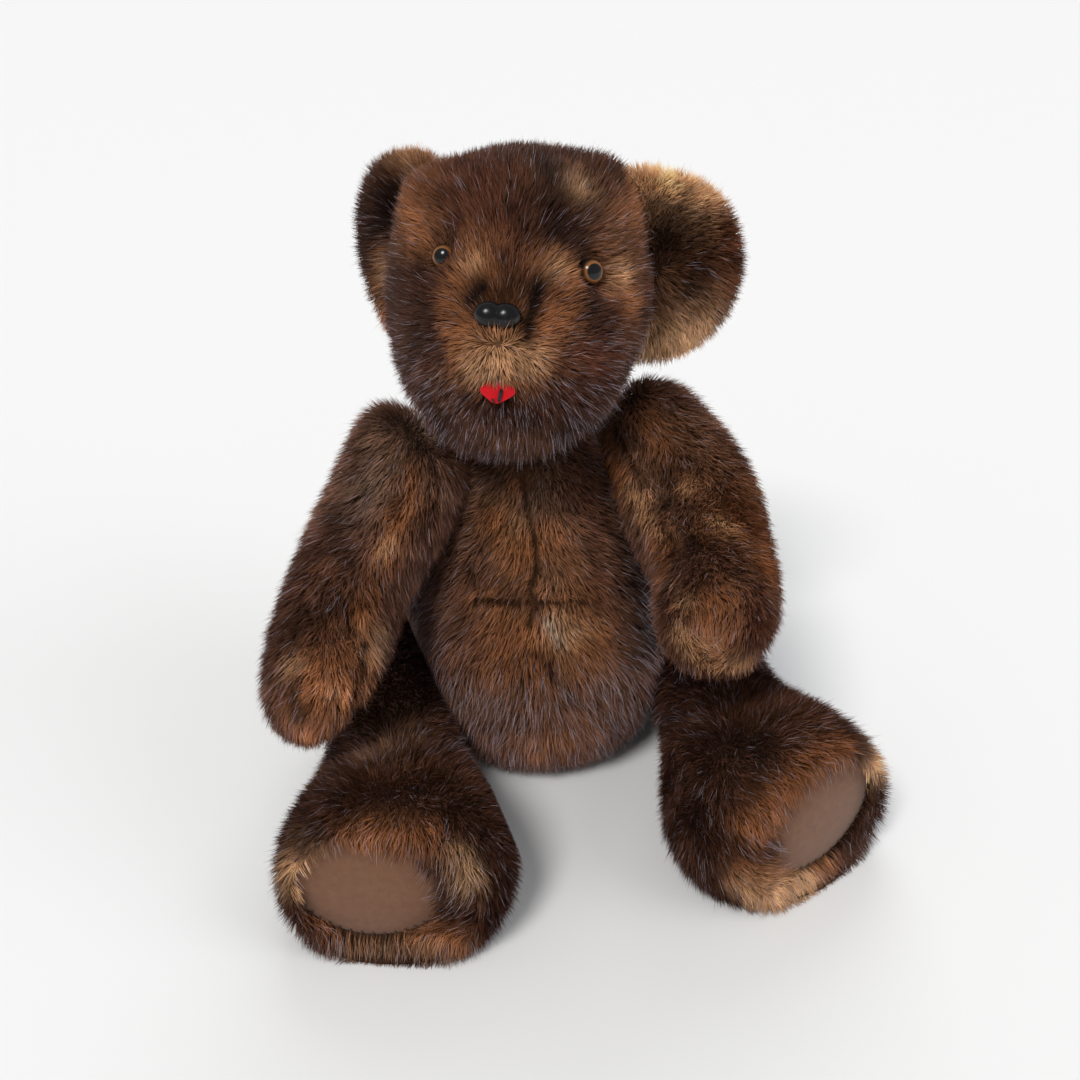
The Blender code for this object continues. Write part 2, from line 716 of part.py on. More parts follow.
class Face:
    """Finds places on the head's surface, in the frame of the head's joint."""

    def __init__(self, form, frame, joint_place, empty):
        self.surface = surface_tree(form)
        self.frame = frame
        self.joint_place = joint_place
        self.empty = empty

    def spot(self, across, height, outward):
        """A frame on the surface, straight ahead of a point of the face: Z outward."""
        ahead = self.frame.to_3x3() @ Vector((0, -1, 0))
        start = self.frame @ Vector((across, -2 * HEAD_DEPTH, height))
        place = self.surface.ray_cast(start, -ahead)[0]
        z_axis = (self.frame.to_3x3() @ outward).normalized()
        x_axis = (self.frame.to_3x3() @ Vector((0, 0, 1))).cross(z_axis).normalized()
        frame = Matrix((x_axis, z_axis.cross(x_axis), z_axis)).transposed().to_4x4()
        frame.translation = place
        return frame


def locked_stack(sink):
    """Heights below the fur's tips of a piece with a locked shank: base, lock top and bottom, end."""
    lock_top = sink + SEAT_GAP + SQUASHED_WALL + SEAT_GAP
    lock_bottom = lock_top + LOCK_THICKNESS
    return sink, lock_top, lock_bottom, lock_bottom + SHANK_END


def locked_void(name, face, spot, head_radius, stretch, sink):
    """A cutter with the room of a piece with a locked shank: socket, bore and pocket for the lock."""
    base, lock_top, _, end = locked_stack(sink)
    bore = SHANK_RADIUS + BORE_CLEARANCE
    pocket = LOCK_RADIUS + POCKET_CLEARANCE
    profile = [
        (0, 10 * CUT_PAST),
        (head_radius + BORE_CLEARANCE, 10 * CUT_PAST),
        (head_radius + BORE_CLEARANCE, -base - SEAT_GAP),
        (bore, -base - SEAT_GAP),
        (bore, -lock_top + SEAT_GAP),
        (pocket, -lock_top + SEAT_GAP),
        (pocket, -end - POCKET_CLEARANCE),
        (0, -end - POCKET_CLEARANCE),
    ]
    shape = turned(name + "_void_profile", profile, CUTTERS, steps=WASHER_STEPS)
    mesh = evaluated_mesh(shape)
    bpy.data.objects.remove(shape, do_unlink=True)
    for vertex in mesh.vertices:
        if vertex.co.z > -base - 2 * SEAT_GAP:
            vertex.co.x *= stretch
    return add_cutter(name + "_void", mesh, face.joint_place @ spot)


def lock_ring(name, face, spot, sink):
    _, lock_top, lock_bottom, _ = locked_stack(sink)
    ring = ring_piece(
        name, LOCK_RADIUS, SHANK_RADIUS + SEAT_GAP, -lock_bottom, -lock_top, face.empty, spot,
        steps=WASHER_STEPS,
    )
    wear(ring, "washer_plastic")


def make_eyes(face):
    """Two domed eyes on shanks, each locked by a ring inside the head."""
    voids = []
    for side, word in ((1, "left"), (-1, "right")):
        outward = Vector((side * math.sin(EYE_TURN), -math.cos(EYE_TURN), 0.25))
        spot = face.spot(side * EYE_SPACING / 2, EYE_HEIGHT, outward)
        base, _, _, end = locked_stack(EYE_SINK)
        dome = [
            (EYE_RADIUS * math.sin(turn), -base + EYE_RIM + (EYE_DOME - EYE_RIM) * math.cos(turn))
            for turn in np.linspace(0, math.pi / 2, 5)
        ]
        shank = [(SHANK_RADIUS, -base), (SHANK_RADIUS, -end), (0, -end)]
        profile = [*dome, (EYE_RADIUS, -base), *shank]
        eye = turned("eye_" + word, profile, PARTS, face.empty, spot, steps=EYE_STEPS)
        wear(eye, "amber_eye")
        lock_ring("eye_lock_" + word, face, spot, EYE_SINK)
        voids.append(locked_void("eye_" + word, face, spot, EYE_RADIUS, 1, EYE_SINK))
    return voids


def make_nose(face):
    """The moulded nose: an oval with a dip between its two lobes, on a shank."""
    outward = Vector((0, -math.cos(NOSE_LIFT), math.sin(NOSE_LIFT)))
    spot = face.spot(0, NOSE_HEIGHT, outward)
    base, _, _, end = locked_stack(NOSE_SINK)
    form = bmesh.new()
    bmesh.ops.create_uvsphere(form, u_segments=16, v_segments=8, radius=1)
    for vertex in form.verts:
        x, y, z = vertex.co
        dip = 1 - NOSE_DIP * math.exp(-((x / NOSE_DIP_HALF_WIDTH) ** 2))
        taper = 1 - NOSE_TAPER * x * x * (y < 0)
        height = max(z, 0) * NOSE_DEPTH * dip
        vertex.co = (x * NOSE_HALF_WIDTH, y * NOSE_HALF_HEIGHT * taper, height - base)
    bmesh.ops.remove_doubles(form, verts=form.verts, dist=0.00001)
    flat_base = [facet for facet in form.faces if facet.calc_center_median().z < -base + 1e-6]
    bmesh.ops.delete(form, geom=flat_base, context="FACES")
    bmesh.ops.holes_fill(form, edges=[e for e in form.edges if e.is_boundary])
    form.normal_update()
    bmesh.ops.recalc_face_normals(form, faces=form.faces)
    mesh = bpy.data.meshes.new("nose")
    form.to_mesh(mesh)
    form.free()
    smooth_shading(mesh)
    nose = add_object("nose", mesh, PARTS, face.empty, spot)
    shank_profile = [
        (0, -base + 0.001), (SHANK_RADIUS, -base + 0.001), (SHANK_RADIUS, -end), (0, -end),
    ]
    shank = turned("nose_shank", shank_profile, CUTTERS, steps=WASHER_STEPS)
    shank_mesh = evaluated_mesh(shank)
    bpy.data.objects.remove(shank, do_unlink=True)
    join = nose.modifiers.new("Shank", "BOOLEAN")
    join.operation = "UNION"
    join.solver = "EXACT"
    join.object = add_cutter("nose_shank", shank_mesh, face.joint_place @ spot)
    wear(nose, "nose_plastic")
    lock_ring("nose_lock", face, spot, NOSE_SINK)
    stretch = NOSE_HALF_WIDTH / NOSE_HALF_HEIGHT
    return locked_void("nose", face, spot, NOSE_HALF_HEIGHT, stretch, NOSE_SINK)


def make_mouth(face):
    """A tongue of felt, tucked into a slit: a flat outline with one round end."""
    outward = Vector((0, -math.cos(FELT_DROOP), -math.sin(FELT_DROOP)))
    spot = face.spot(0, MOUTH_HEIGHT, outward)
    rounding = FELT_ROUNDING * FELT_HALF_WIDTH
    front = FELT_LENGTH - FELT_TUCK - rounding
    round_end = [
        (FELT_HALF_WIDTH * math.sin(turn), front + rounding * math.cos(turn))
        for turn in np.linspace(-math.pi / 2, math.pi / 2, 9)
    ]
    back = FELT_BACK * FELT_HALF_WIDTH
    outline = [(-back, -FELT_TUCK), *round_end, (back, -FELT_TUCK)]
    felt_mesh = plate("mouth_felt", outline, FELT_THICKNESS)
    wear(add_object("mouth_felt", felt_mesh, PARTS, face.empty, spot), "felt")
    wide = FELT_HALF_WIDTH + SEAT_GAP
    deep = -FELT_TUCK - SEAT_GAP
    opening = [(-wide, deep), (-wide, FELT_LENGTH), (wide, FELT_LENGTH), (wide, deep)]
    slit = plate("mouth_slit", opening, FELT_THICKNESS + 2 * SEAT_GAP)
    return add_cutter("mouth_slit", slit, face.joint_place @ spot)


def plate(name, outline, thickness):
    """A flat plate with the outline of (x, z) points, on both sides of the XZ plane."""
    form = bmesh.new()
    face = form.faces.new([form.verts.new((x, -thickness / 2, z)) for x, z in outline])
    grown = bmesh.ops.extrude_face_region(form, geom=[face])
    moved = [item for item in grown["geom"] if isinstance(item, bmesh.types.BMVert)]
    bmesh.ops.translate(form, vec=(0, thickness, 0), verts=moved)
    form.normal_update()
    bmesh.ops.recalc_face_normals(form, faces=form.faces)
    mesh = bpy.data.meshes.new(name)
    form.to_mesh(mesh)
    form.free()
    return mesh


def make_ear(word, side, empty, frame, ear_limit):
    """A round cupped ear: rings about its own front to back line, bent forward at the rim."""
    ear_place = (
        frame
        @ Matrix.Translation((side * EAR_OUTWARD[word], EAR_BACK, EAR_HEIGHT[word]))
        @ Matrix.Rotation(side * EAR_TURN[word], 4, "Z")
        @ Matrix.Rotation(EAR_NOD, 4, "X")
    )
    turn = ear_place.to_3x3()
    rings = []
    for reach, level in ((0.55, 0.88), (0.94, 0.42), (0.98, -0.42), (0.60, -0.90)):
        middle = EAR_CUP * (1 - reach**2) - level * EAR_HALF_THICKNESS
        rings.append(
            Ring(
                ear_place @ Vector((0, middle, 0)),
                turn @ Vector((reach * EAR_HALF_WIDTH, 0, 0)),
                turn @ Vector((0, 0, reach * EAR_HALF_HEIGHT)),
            )
        )
    front = ear_place @ Vector((0, EAR_CUP - EAR_HALF_THICKNESS, 0))
    back = ear_place @ Vector((0, EAR_CUP + EAR_HALF_THICKNESS, 0))
    form = soft_mesh(Soft("ear_" + word, rings, [front, back], []))
    ear = add_object("ear_" + word, form, PARTS, empty)
    cut_with(ear, [ear_limit])
    wear(ear, "mink")


clear_scene()
PARTS = make_collection("mink_bear")
CUTTERS = make_collection("cutters")


def main():
    joints = make_joints()
    torso_empty = add_object("torso_axis", None, PARTS, place=Matrix.Identity(4))
    bpy.context.view_layer.update()
    make_torso(joints, torso_empty)
    for word in ("left", "right"):
        leg_surface = make_leg(word, joints["hip_" + word], torso_empty)
        make_arm(word, joints["shoulder_" + word], leg_surface, torso_empty)
    make_head(joints["neck"], torso_empty)


main()
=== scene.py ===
import json
import math
from collections import namedtuple

import bpy
import numpy as np
from mathutils import Matrix


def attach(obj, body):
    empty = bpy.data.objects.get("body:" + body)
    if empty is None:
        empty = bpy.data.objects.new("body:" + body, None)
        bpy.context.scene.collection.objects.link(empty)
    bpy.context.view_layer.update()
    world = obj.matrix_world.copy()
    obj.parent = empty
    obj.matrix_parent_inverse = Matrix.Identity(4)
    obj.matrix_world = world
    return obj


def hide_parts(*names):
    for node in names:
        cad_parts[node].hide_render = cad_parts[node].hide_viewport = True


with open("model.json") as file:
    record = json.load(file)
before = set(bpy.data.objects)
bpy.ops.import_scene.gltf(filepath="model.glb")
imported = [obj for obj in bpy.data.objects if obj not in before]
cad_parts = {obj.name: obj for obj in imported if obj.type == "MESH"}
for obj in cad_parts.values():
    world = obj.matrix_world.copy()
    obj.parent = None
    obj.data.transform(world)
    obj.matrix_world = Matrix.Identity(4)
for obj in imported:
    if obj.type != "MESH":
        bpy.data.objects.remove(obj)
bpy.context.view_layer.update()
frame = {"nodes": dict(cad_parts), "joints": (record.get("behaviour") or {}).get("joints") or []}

bl_info = {
    "name": "Jointed mink bear",
    "version": (1, 0, 0),
    "blender": (4, 5, 0),
    "location": "3D View > Sidebar > Mink bear",
    "description": "Fur, eyes, nose, felt mouth, suede pads and stage round the bear's packed frame",
    "category": "Object",
}

MM = 0.001

Place = namedtuple("Place", "middle turn")  # the columns of the turn are its X, Y and Z axes


# Vectors, whole arrays at a time

TINY = 1e-12
RIPPLE_WAVES, RIPPLE_LENGTHS, RIPPLE_GAIN = 9, (0.6, 1.7), 1.7


def unit(vectors):
    """Each vector divided by its length."""
    return vectors / np.maximum(np.linalg.norm(vectors, axis=-1, keepdims=True), TINY)


def dot(first, second):
    """The sum of the products of the coordinates, kept as a last axis of one."""
    return (first * second).sum(-1, keepdims=True)


def ease(values, start, end):
    """0 before the start, 1 after the end and 3t^2 - 2t^3 between them."""
    share = np.clip((values - start) / (end - start), 0, 1)
    return share * share * (3 - 2 * share)


def turned(vectors, axes, angles):
    """Each vector turned about its own unit axis, by Rodrigues' formula."""
    cos, sin = np.cos(angles)[..., None], np.sin(angles)[..., None]
    return vectors * cos + np.cross(axes, vectors) * sin + axes * dot(axes, vectors) * (1 - cos)


def turn_about(axis, angle):
    """The 3 by 3 matrix of a turn about one of the axes X, Y and Z."""
    other, third = [(1, 2), (2, 0), (0, 1)]["XYZ".index(axis)]
    matrix = np.eye(3)
    matrix[other, other] = matrix[third, third] = math.cos(angle)
    matrix[other, third] = -math.sin(angle)
    matrix[third, other] = math.sin(angle)
    return matrix


def ripple(points, size, seed):
    """A smooth random height from about -1 to 1: a mean of sine waves with seeded ways and lengths."""
    rng = np.random.default_rng(seed)
    directions = unit(rng.normal(size=(RIPPLE_WAVES, 3)))
    lengths = size * rng.uniform(*RIPPLE_LENGTHS, RIPPLE_WAVES)
    phases = rng.uniform(0, 2 * math.pi, RIPPLE_WAVES)
    waves = np.sin(2 * math.pi * points @ (directions / lengths[:, None]).T + phases)
    return RIPPLE_GAIN * waves.mean(-1)


def put(place, points):
    """Points given in a place's own axes, in the world's."""
    return place.middle + np.asarray(points, float) @ place.turn.T


def within(place, points):
    """Points given in the world's axes, in a place's own."""
    return (points - place.middle) @ place.turn


def mesh_points(mesh):
    """The mesh's vertices, one to a row."""
    flat = np.empty(len(mesh.vertices) * 3, np.float32)
    mesh.vertices.foreach_get("co", flat)
    return flat.reshape(-1, 3).astype(float)


def off_place(points, start, end):
    """Vector to each point from the nearest place of a straight stroke."""
    start, end = np.asarray(start, float), np.asarray(end, float)
    along = end - start
    share = np.clip((points - start) @ along / max(along @ along, TINY), 0, 1)
    return points - start - share[..., None] * along


SIGHT = unit(np.array((0.16, 0.82, -0.54)))  # the way the photograph looks
SEAM_DEPTH = 12 * MM


def off_seam(points, start, end):
    """Vector to each point from a seam as the photograph shows it, and whether it is near in depth."""
    offset = off_place(points, start, end)
    depth = offset @ SIGHT
    return offset - depth[..., None] * SIGHT, np.abs(depth) < SEAM_DEPTH


# The soft forms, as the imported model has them

JOINTS = {joint["name"]: joint for joint in frame["joints"]}
SEAT_GAP = 0.3 * MM
PRESS_EASE = 0.8 * MM
FORM_STEP = 0.002  # step in u and v for a form's directions
TORSO_HEIGHT, TORSO_LEAN = 0.190, -0.003
TORSO_HALF_WIDTH, TORSO_HALF_DEPTH = 0.070, 0.068
HEAD_HALF_WIDTH, HEAD_HALF_HEIGHT, HEAD_DEPTH = 0.056, 0.060, 0.144
HEAD_BACK = 0.375  # share of the head's depth that is behind its middle
HEAD_YAW, HEAD_PITCH, HEAD_ROLL = np.radians((-16, 7, 5))
NECK_FLAT = 0.007
ARM_LENGTH, ARM_HALF_WIDTH = 0.1295, 0.028
ARM_SWING = {"left": math.radians(32), "right": math.radians(5)}
ARM_BEND = {"left": math.radians(76), "right": math.radians(52)}
ARM_SPREAD = {"left": 0.0, "right": 0.033}
SPREAD_POWER = 1.4  # how late along an arm it spreads away from the body
LEG_LENGTH, LEG_HALF_WIDTH = 0.150, 0.032
LEG_SWING, LEG_BEND = np.radians((82, 14))
SOLE_TURN = {"left": math.radians(25), "right": math.radians(16)}
SOLE_TIP = math.radians(4)
SIDES = {"left": 1, "right": -1}

# Height, half width and half depth of the torso, as shares of its sizes
TORSO_OUTLINE = np.array((
    (1.06, 0, 0), (1.03, .32, .34), (.93, .56, .58), (.79, .72, .73), (.62, .90, .88),
    (.44, 1, .99), (.25, 1, 1), (.09, .88, .90), (-.02, .60, .64), (-.06, 0, 0),
))
# The head from its back to its nose: place, height of the middle, half width, half height
HEAD_OUTLINE = np.array((
    (0, 0, 0, 0), (.035, 0, .48, .54), (.130, -.02, .82, .87), (.290, -.02, 1, 1),
    (.480, -.05, 1.03, 1.01), (.640, -.14, .92, .96), (.780, -.27, .68, .78),
    (.890, -.33, .46, .54), (.965, -.32, .28, .32), (1, -.32, 0, 0),
))
# Place along a limb, shift away from the joint, half widths across and along the joint's axis
ARM_OUTLINE = np.array((
    (-.178, .58, 0, 0), (-.140, .58, .76, .80), (-.050, .72, 1, 1), (.170, .96, 1.10, 1.06),
    (.430, 1.24, 1.03, 1.03), (.730, 1.32, 1.05, 1.05), (.915, 1.30, .78, .82), (.985, 1.28, 0, 0),
))
LEG_OUTLINE = np.array((
    (-.215, .66, 0, 0), (-.165, .64, .72, .72), (-.070, .72, .98, .98), (.160, .80, 1, .96),
    (.430, 1.10, .94, .86), (.610, 1.28, 1.34, 1.22), (.780, 1.42, 1.68, 1.56),
    (.960, 1.64, 1.60, 1.52), (1.080, 1.80, .90, .90), (1.110, 1.84, 0, 0),
))
EAR_HALF_WIDTH, EAR_HALF_HEIGHT, EAR_HALF_THICKNESS, EAR_CUP = 0.040, 0.045, 0.010, 0.010
EAR_BACK, EAR_NOD = 0.006, math.radians(6)
EAR_OUTWARD = {"left": 0.060, "right": 0.053}
EAR_HEIGHT = {"left": 0.009, "right": 0.007}
EAR_TURN = {"left": math.radians(14), "right": math.radians(42)}
EAR_OUTLINE = np.array(((0, 1), (.55, .88), (.94, .42), (.98, -.42), (.60, -.90), (0, -1)))
PAD_HALF_WIDTH, PAD_HALF_HEIGHT = 1.03 * LEG_HALF_WIDTH, 0.86 * LEG_HALF_WIDTH
PAD_HEIGHT, PAD_SHIFT, SOLE_PLACE = 1.18 * LEG_HALF_WIDTH, 0.008, 0.97
PAD_DEPTH = 6.0 * MM  # top of the pad below the tips of the fur
FLOOR = (np.zeros(3), np.array((0.0, 0.0, -1.0)), True)  # a place, the way out, and whether it squashes fur


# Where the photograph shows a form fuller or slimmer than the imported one: middle, radius, way it moves
ARM_BULGES = {
    "left": (
        ((.046, -.014, .188), .024, (-.002, 0, .010)),
        ((.0430, -.0580, .1610), .0085, (.0006, .0034, -.0020)),
        ((.0457, -.0830, .1529), .0085, (.0006, .0034, -.0020)),
        ((.0370, -.1040, .1420), .0080, (.0006, .0034, -.0020)),
        ((.0350, -.0780, .1280), .022, (.0045, -.0008, 0)),
        ((.0860, -.0480, .1620), .030, (.0040, -.0007, .0012)),
    ),
    "right": (
        ((-.062, -.012, .184), .024, (-.003, 0, .0095)),
        ((-.0650, -.0630, .1260), .030, (-.0069, .0013, 0)),
        ((-.0960, -.0880, .0750), .016, (-.0022, .0078, .0121)),
        ((-.0800, -.0780, .0800), .018, (-.0062, .0043, .0053)),
        ((-.0940, -.0815, .1250), .0075, (.0004, .0030, -.0018)),
        ((-.0914, -.0897, .1113), .0085, (.0006, .0042, -.0026)),
        ((-.0950, -.0960, .0980), .0085, (.0006, .0042, -.0026)),
    ),
}
HEAD_BULGES = (
    ((.036, -.006, .284), .020, (.005, 0, .008)),
    ((-.043, .000, .285), .020, (-.005, 0, .008)),
)
EAR_BULGES = {
    "left": (((.046, -.008, .284), .014, (-.003, 0, .005)),),
    "right": (
        ((-.041, .018, .290), .014, (.005, 0, .003)),
        ((-.060, .033, .222), .012, (0, 0, -.004)),
    ),
}


def joint_place(name):
    """A frame at a joint: X along its axis into the limb, and Z up in its plane."""
    joint = JOINTS[name]
    x_axis = unit(np.array(joint["axis"], float)) * (-1 if name.endswith("left") else 1)
    up = np.array((0.0, 0, 1)) if abs(x_axis[2]) < 0.9 else np.array((0.0, 1, 0))
    y_axis = unit(np.cross(up, x_axis))
    return Place(np.array(joint["pos_m"], float), np.stack((x_axis, y_axis, np.cross(x_axis, y_axis)), 1))


def joint_plane(name, limb):
    """The joint's plane as a limit, facing out of the limb or out of the torso."""
    place = joint_place(name)
    outward = -place.turn[:, 0] if limb else place.turn[:, 0]
    return place.middle - outward * SEAT_GAP / 2, outward, True


class Form:
    """A soft closed form: elliptic rings joined by a cubic B-spline, pressed flat by planes.

    At u round the ring and v from pole to pole a point is centre(v) + across(v) cos(2 pi u)
    + along(v) sin(2 pi u). Past each pole the rings repeat as mirror images, which rounds the ends.
    """

    def __init__(self, centres, across, along, planes, bulges=()):
        self.spans = len(centres) - 1
        self.planes = planes
        self.bulges = bulges  # places, radii and ways in which the form swells
        chains = ((centres, 1), (across, -1), (along, -1))
        rows = [np.vstack((sign * chain[1], chain, sign * chain[-2])) for chain, sign in chains]
        self.rows = np.stack(rows, 1)
        self.middle = centres.mean(0)

    def free(self, u, v):
        """The surface before bulges and planes, with the cubic B-spline's four weights."""
        span = np.clip(v, 0, 1) * self.spans
        first = np.minimum(span.astype(int), self.spans - 1)
        t = span - first
        weights = np.stack(((1 - t) ** 3, 3 * t**3 - 6 * t**2 + 4, 3 * (t + t**2 - t**3) + 1, t**3), -1) / 6
        rows = (weights[..., None, None] * self.rows[first[..., None] + np.arange(4)]).sum(-3)
        angle = 2 * math.pi * u[..., None]
        return rows[..., 0, :] + rows[..., 1, :] * np.cos(angle) + rows[..., 2, :] * np.sin(angle)

    def outer(self, u, v):
        """The surface at the tips of the fur, and how far each point was pressed back, in metres.

        A bulge moves points by its way times exp(-(distance / radius)^2). A plane moves a point that
        is b beyond it back by (b + sqrt(b^2 + ease^2)) / 2.
        """
        points = self.free(u, v)
        for middle, radius, way in self.bulges:
            near = np.exp(-((np.linalg.norm(points - middle, axis=-1) / radius) ** 2))
            points = points + near[..., None] * np.array(way)
        pressed = np.zeros(points.shape[:-1])
        for middle, normal, squashes in self.planes * 2:
            beyond = (points - middle) @ normal
            pressed = np.maximum(pressed, beyond * squashes)
            points = points - (beyond + np.sqrt(beyond**2 + PRESS_EASE**2))[..., None] / 2 * normal
        return points, pressed

    def at(self, u, v):
        """Points, outward normals, direction towards the far pole, and pressing at (u, v)."""
        inner = np.clip(v, 3 * FORM_STEP, 1 - 3 * FORM_STEP)
        around = self.outer(u + FORM_STEP, inner)[0] - self.outer(u - FORM_STEP, inner)[0]
        ahead = self.outer(u, inner + FORM_STEP)[0] - self.outer(u, inner - FORM_STEP)[0]
        points, pressed = self.outer(u, v)
        normals = unit(np.cross(around, ahead))
        return points, normals * self.sign(), unit(ahead), pressed

    def sign(self):
        """1 if the cross product of the two directions points outwards, or else -1."""
        if not hasattr(self, "facing"):
            u, v, step = np.linspace(0, 1, 16, endpoint=False), np.full(16, 0.5), 1e-3
            around = self.free(u + step, v) - self.free(u - step, v)
            ahead = self.free(u, v + step) - self.free(u, v - step)
            outward = self.free(u, v) - self.free(u + 0.5, v)
            self.facing = 1 if (np.cross(around, ahead) * outward).sum() > 0 else -1
        return self.facing


def torso_form():
    """A pear: level rings up a middle line that leans a little, pressed flat at its joints and floor."""
    height, wide, deep = TORSO_OUTLINE.T
    zero = np.zeros(len(height))
    centres = np.stack((TORSO_LEAN * height, zero, height * TORSO_HEIGHT), 1)
    across = np.stack((wide * TORSO_HALF_WIDTH, zero, zero), 1)
    along = np.stack((zero, deep * TORSO_HALF_DEPTH, zero), 1)
    return Form(centres, across, along, [joint_plane(name, False) for name in JOINTS] + [FLOOR])


def head_place():
    """The head's own frame at its middle: -Y towards the face. It is turned, lifted and tipped."""
    middle = joint_place("neck").middle + (0, 0, HEAD_HALF_HEIGHT - NECK_FLAT)
    turn = turn_about("Z", HEAD_YAW) @ turn_about("X", -HEAD_PITCH) @ turn_about("Y", HEAD_ROLL)
    return Place(middle, turn)


def head_form():
    """Upright rings from the back of the head to the nose, the muzzle's middle lower than the skull's."""
    place = head_place()
    share, height, wide, tall = HEAD_OUTLINE.T
    zero = np.zeros(len(share))
    centres = np.stack((zero, HEAD_DEPTH * (HEAD_BACK - share), height * HEAD_HALF_HEIGHT), 1)
    across = np.stack((wide * HEAD_HALF_WIDTH, zero, zero), 1) @ place.turn.T
    along = np.stack((zero, zero, tall * HEAD_HALF_HEIGHT), 1) @ place.turn.T
    return Form(put(place, centres), across, along, [joint_plane("neck", True)], HEAD_BULGES)


def ear_place(word):
    """The ear's own frame: its front faces -Y."""
    head, side = head_place(), SIDES[word]
    middle = put(head, (side * EAR_OUTWARD[word], EAR_BACK, EAR_HEIGHT[word]))
    return Place(middle, head.turn @ turn_about("Z", side * EAR_TURN[word]) @ turn_about("X", EAR_NOD))


def ear_form(word):
    """A cupped cushion: rings of growing and then shrinking reach, back by cup times 1 - reach^2."""
    place = ear_place(word)
    reach, level = EAR_OUTLINE.T
    zero = np.zeros(len(reach))
    centres = np.stack((zero, EAR_CUP * (1 - reach**2) - level * EAR_HALF_THICKNESS, zero), 1)
    across = np.stack((reach * EAR_HALF_WIDTH, zero, zero), 1) @ place.turn.T
    along = np.stack((zero, zero, reach * EAR_HALF_HEIGHT), 1) @ place.turn.T
    return Form(put(place, centres), across, along, [], EAR_BULGES[word])


def limb_form(joint, side, outline, length, half_width, swing, bend, spread, planes, bulges=()):
    """A limb swung forward from hanging down: its middle line is straight above the joint, an arc below."""
    place = joint_place(joint)
    share, outward, wide, deep = outline.T
    below = np.maximum(share, 0)
    radius = length / bend
    down = np.where(share > 0, radius * np.sin(below * bend), share * length)
    forward = radius * (1 - np.cos(below * bend))
    centres = np.stack((outward * half_width + spread * below**SPREAD_POWER, -side * forward, -down), 1)
    tangent = np.zeros_like(centres)
    tangent[1:-1] = unit(centres[2:] - centres[:-2])
    across = unit(np.array((1.0, 0, 0)) - tangent * tangent[:, :1])
    along = np.cross(tangent, across) * deep[:, None] * half_width
    across = across * wide[:, None] * half_width
    turn = place.turn @ turn_about("X", -side * swing)
    return Form(
        place.middle + centres @ turn.T, across @ turn.T, along @ turn.T,
        [joint_plane(joint, True), FLOOR, *planes], bulges,
    )


def arm_form(word):
    """An arm from its round shoulder to its paw."""
    return limb_form(
        "shoulder_" + word, SIDES[word], ARM_OUTLINE, ARM_LENGTH, ARM_HALF_WIDTH,
        ARM_SWING[word], ARM_BEND[word], ARM_SPREAD[word], [], ARM_BULGES[word],
    )


def sole_place(word):
    """A frame on the sole at the tips of the fur: Z out of it and Y up it."""
    joint, side = joint_place("hip_" + word), SIDES[word]
    axis = joint.turn[:, 0]
    forward = np.cross(axis, (0, 0, 1)) * side * (1, 1, 0)
    outward = LEG_OUTLINE[-2][1] * LEG_HALF_WIDTH + PAD_SHIFT
    middle = joint.middle + axis * outward + unit(forward) * LEG_LENGTH * SOLE_PLACE
    middle[2] = PAD_HEIGHT
    heading = side * SOLE_TURN[word]
    normal = unit(np.array((math.sin(heading), -math.cos(heading), math.tan(SOLE_TIP))))
    right = unit(np.cross((0, 0, 1), normal))
    return Place(middle, np.stack((right, np.cross(normal, right), normal), 1))


def leg_form(word):
    """A leg from its hip to its sole, where it widens and is cut flat by the sole's plane."""
    sole = sole_place(word)
    return limb_form(
        "hip_" + word, SIDES[word], LEG_OUTLINE, LEG_LENGTH, LEG_HALF_WIDTH,
        LEG_SWING, LEG_BEND, 0, [(sole.middle, sole.turn[:, 2], False)],
    )


def node_place(node, axis_turn, reach, far):
    """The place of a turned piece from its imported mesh: its outermost points along Z, less the reach."""
    points = mesh_points(frame["nodes"][node].data)
    height = points @ axis_turn[:, 2] * (1 if far else -1)
    middle = points[height > height.max() - 0.01 * MM].mean(0)
    return Place(middle - axis_turn[:, 2] * reach * (1 if far else -1), axis_turn)


def face_turn(outward):
    """Axes of a piece on the face: Z outward, X to the bear's left and Y up."""
    head = head_place()
    z_axis = unit(head.turn @ np.array(outward, float))
    x_axis = unit(np.cross(head.turn[:, 2], z_axis))
    return np.stack((x_axis, np.cross(z_axis, x_axis), z_axis), 1)


# Meshes

def new_object(name, points, faces, finish):
    """An object at the origin with this mesh and one material."""
    mesh = bpy.data.meshes.new(name)
    faces = np.asarray(faces)
    sides = faces.shape[1]
    mesh.vertices.add(len(points))
    mesh.vertices.foreach_set("co", np.ascontiguousarray(points, np.float32).ravel())
    mesh.loops.add(faces.size)
    mesh.loops.foreach_set("vertex_index", np.ascontiguousarray(faces, np.int32).ravel())
    mesh.polygons.add(len(faces))
    mesh.polygons.foreach_set("loop_start", np.arange(0, faces.size, sides, dtype=np.int32))
    mesh.polygons.foreach_set("use_smooth", np.full(len(faces), True))
    mesh.update(calc_edges=True)
    mesh.materials.append(finish)
    obj = bpy.data.objects.new(name, mesh)
    bpy.context.scene.collection.objects.link(obj)
    return obj


def paint(obj, name, colours):
    """Stores a colour for each vertex."""
    layer = obj.data.attributes.new(name, "FLOAT_COLOR", "POINT")
    rows = np.column_stack((colours, np.ones(len(colours)))).astype(np.float32)
    layer.data.foreach_set("color", rows.ravel())


def unwrap(obj, corners):
    """Stores the UV place of each face corner."""
    layer = obj.data.uv_layers.new(name="OFBake")
    layer.data.foreach_set("uv", np.ascontiguousarray(corners, np.float32).ravel())


